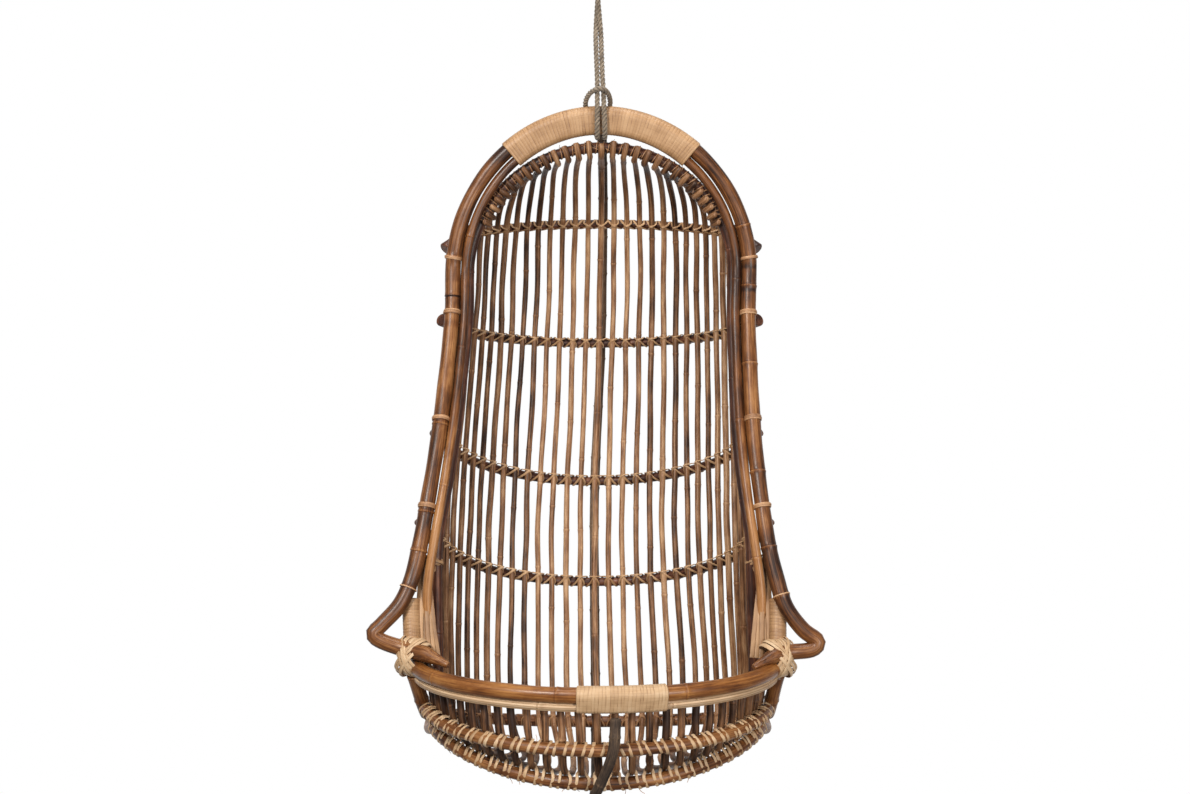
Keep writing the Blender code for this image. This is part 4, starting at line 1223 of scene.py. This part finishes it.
def add_wisps():
    """Loose fibre ends that stand out from the ties of the inner hoop and the apron."""
    rng = np.random.default_rng(53)
    strands = Strands()
    starts = []
    for u in rng.uniform(-0.97, 0.97, 64):
        starts.append((inner_hoop_point(hoop_angle(u)) - BACK * INNER_HOOP_RADIUS, 0.011, 0.0))
    for _ in range(70):
        name = ("seat_front", "apron")[int(rng.integers(2))]
        where = outside(name, float(rng.uniform(-0.98, 0.98)), SPINDLE_RADIUS + RING_RADIUS + GAP)
        edge = Vector((0, 0, RING_RADIUS * rng.choice([-0.9, 0.9])))
        starts.append((where + edge, 0.008, 0.1))
    for start, size, tone in starts:
        lean = Vector((rng.normal(), -0.35 * abs(rng.normal()), rng.normal())).normalized()
        side = lean.cross(Vector((0, -1, 0))).normalized() * rng.choice([-1.0, 1.0])
        reach, bow = size * rng.uniform(0.6, 1.6), rng.uniform(0.3, 1.0)
        points = [start + lean * (reach * t) + side * (reach * bow * t * t)
                  for t in (0.0, 0.25, 0.5, 0.75, 1.0)]
        path = array(placed(points))
        strands.add(path, tuple(BACK), strip_outline(0.0009, 0.0006), tone + rng.uniform(-0.3, 0.1))
    strands.build("peel_wisps", LASH_PEEL)


def loops(strands, centre, across, up, size, turns, width, rng, drift, fat=1.0, tone=0.0):
    """Several turns of peel round two canes: ellipses of half sizes size in a tilted plane."""
    across, up = Vector(across).normalized(), Vector(up).normalized()
    normal = across.cross(up).normalized()
    for k in range(turns):
        off = (k - (turns - 1) / 2) * drift + rng.uniform(-0.3, 0.3) * drift
        grow = 1 + 0.04 * (k % 2)
        ring = []
        for j in range(14):
            a = 2 * math.pi * j / 14
            ring.append(place(*(Vector(centre) + normal * off + across * (size[0] * grow * math.cos(a))
                                + up * (size[1] * grow * math.sin(a)))))
        path = closed_line(ring, 3)
        middle = np.array(tuple(place(*centre)))
        strands.add(path, path - middle, strip_outline(width, 0.0011 * fat),
                    tone + rng.uniform(-0.15, 0.15), 0.0, rng.uniform(0, 9), closed=True)


def add_corner_lashings():
    """Criss-crossed turns where each arm, the rail's end and the corner post meet."""
    rng = np.random.default_rng(41)
    for side, sign, _ in sides():
        d = Vector((0.88 * sign, 0.44, 0.14)).normalized()
        centre = Vector((0.3115 * sign, -0.197, -0.444 - 0.001 * sign))
        out = d.cross(Vector((0, 0, 1))).normalized()
        strands = Strands()
        for turns, tilt, size in ((5, 0.0, (0.0270, 0.0310)), (4, 0.66, (0.0290, 0.0360)),
                                  (4, -0.66, (0.0300, 0.0365)), (3, 0.30, (0.0310, 0.0330))):
            up = Vector((0, 0, 1)) * math.cos(tilt) + d * math.sin(tilt)
            loops(strands, centre, out, up, size, turns, 0.0050, rng, 0.0054, 1.5, 0.10)
        strands.build(f"peel_corner_{side}", STRAW_PEEL)


def add_pole_bindings():
    """Turns of peel that tie the rim's poles together above the arms."""
    rng = np.random.default_rng(43)
    for side, sign, _ in sides():
        leg = Vector((0.20 * sign, -0.30, -0.93)).normalized()
        out = Vector((sign, 0.10, 0.16)).normalized()
        depth = leg.cross(out).normalized()
        strands = Strands()
        for centre, size, turns in (((0.2915, -0.128, -0.286), (0.0175, 0.0275), 3),
                                    ((0.2895, -0.131, -0.297), (0.0160, 0.0180), 3)):
            x, y, z = centre
            loops(strands, (x * sign, y, z), depth, out, size, turns, 0.0044, rng, 0.0046, 1.3)
        strands.build(f"peel_binding_{side}", PALE_PEEL)


ABOVE_TOP_HOOP = -0.019
BELOW_LOWER_HOOP = 0.012


def add_rim_rings():
    """Turns of peel round the rim pole: beside each back hoop's end, and one above each elbow."""
    rng = np.random.default_rng(47)
    pole = array(smooth(rim_route(), 8))
    rings = [(-1, -0.326, 0.0, 1, 0.0022, 0.15), (1, -0.342, 0.0, 1, 0.0022, 0.15)]
    for name, tip in BAND_TIPS.items():
        top = name == "band_1"
        for sign in (-1, 1):
            drop, turns = (ABOVE_TOP_HOOP, 2) if top else (BELOW_LOWER_HOOP, 3)
            rings.append((sign, tip[2] + 0.004, drop, turns, 0.0032, 0.0))
    strands = Strands()
    for sign, height, drop, turns, width, tone in rings:
        near = nearest(pole, sign, height)
        leg = Vector(pole[near + 2] - pole[near - 2]).normalized()
        side = leg.cross(Vector((0, -1, 0))).normalized()
        front = side.cross(leg).normalized()
        centre = Vector(pole[near]) + leg * (drop if leg.z > 0 else -drop)
        size = MAIN_RADIUS * 1.04 + 0.0006
        loops(strands, centre, front, side, (size, size), turns, width, rng, 0.0026, 0.9, tone)
    strands.build("peel_rim_rings", LASH_PEEL)


add_wraps()
add_wisps()
add_rim_rings()
add_crossings()
add_hoop_ties()
add_corner_lashings()
add_pole_bindings()


# ---- ceiling fitting and what is left ----
METAL = ["ceiling_plate", "ceiling_screw_1", "ceiling_screw_2", "ceiling_screw_3",
         "ceiling_screw_4", "swivel_yoke", "swivel_eye", "hanging_link"]
for name in METAL:
    bpy.data.objects[name].data.materials.clear()
    bpy.data.objects[name].data.materials.append(ZINC)
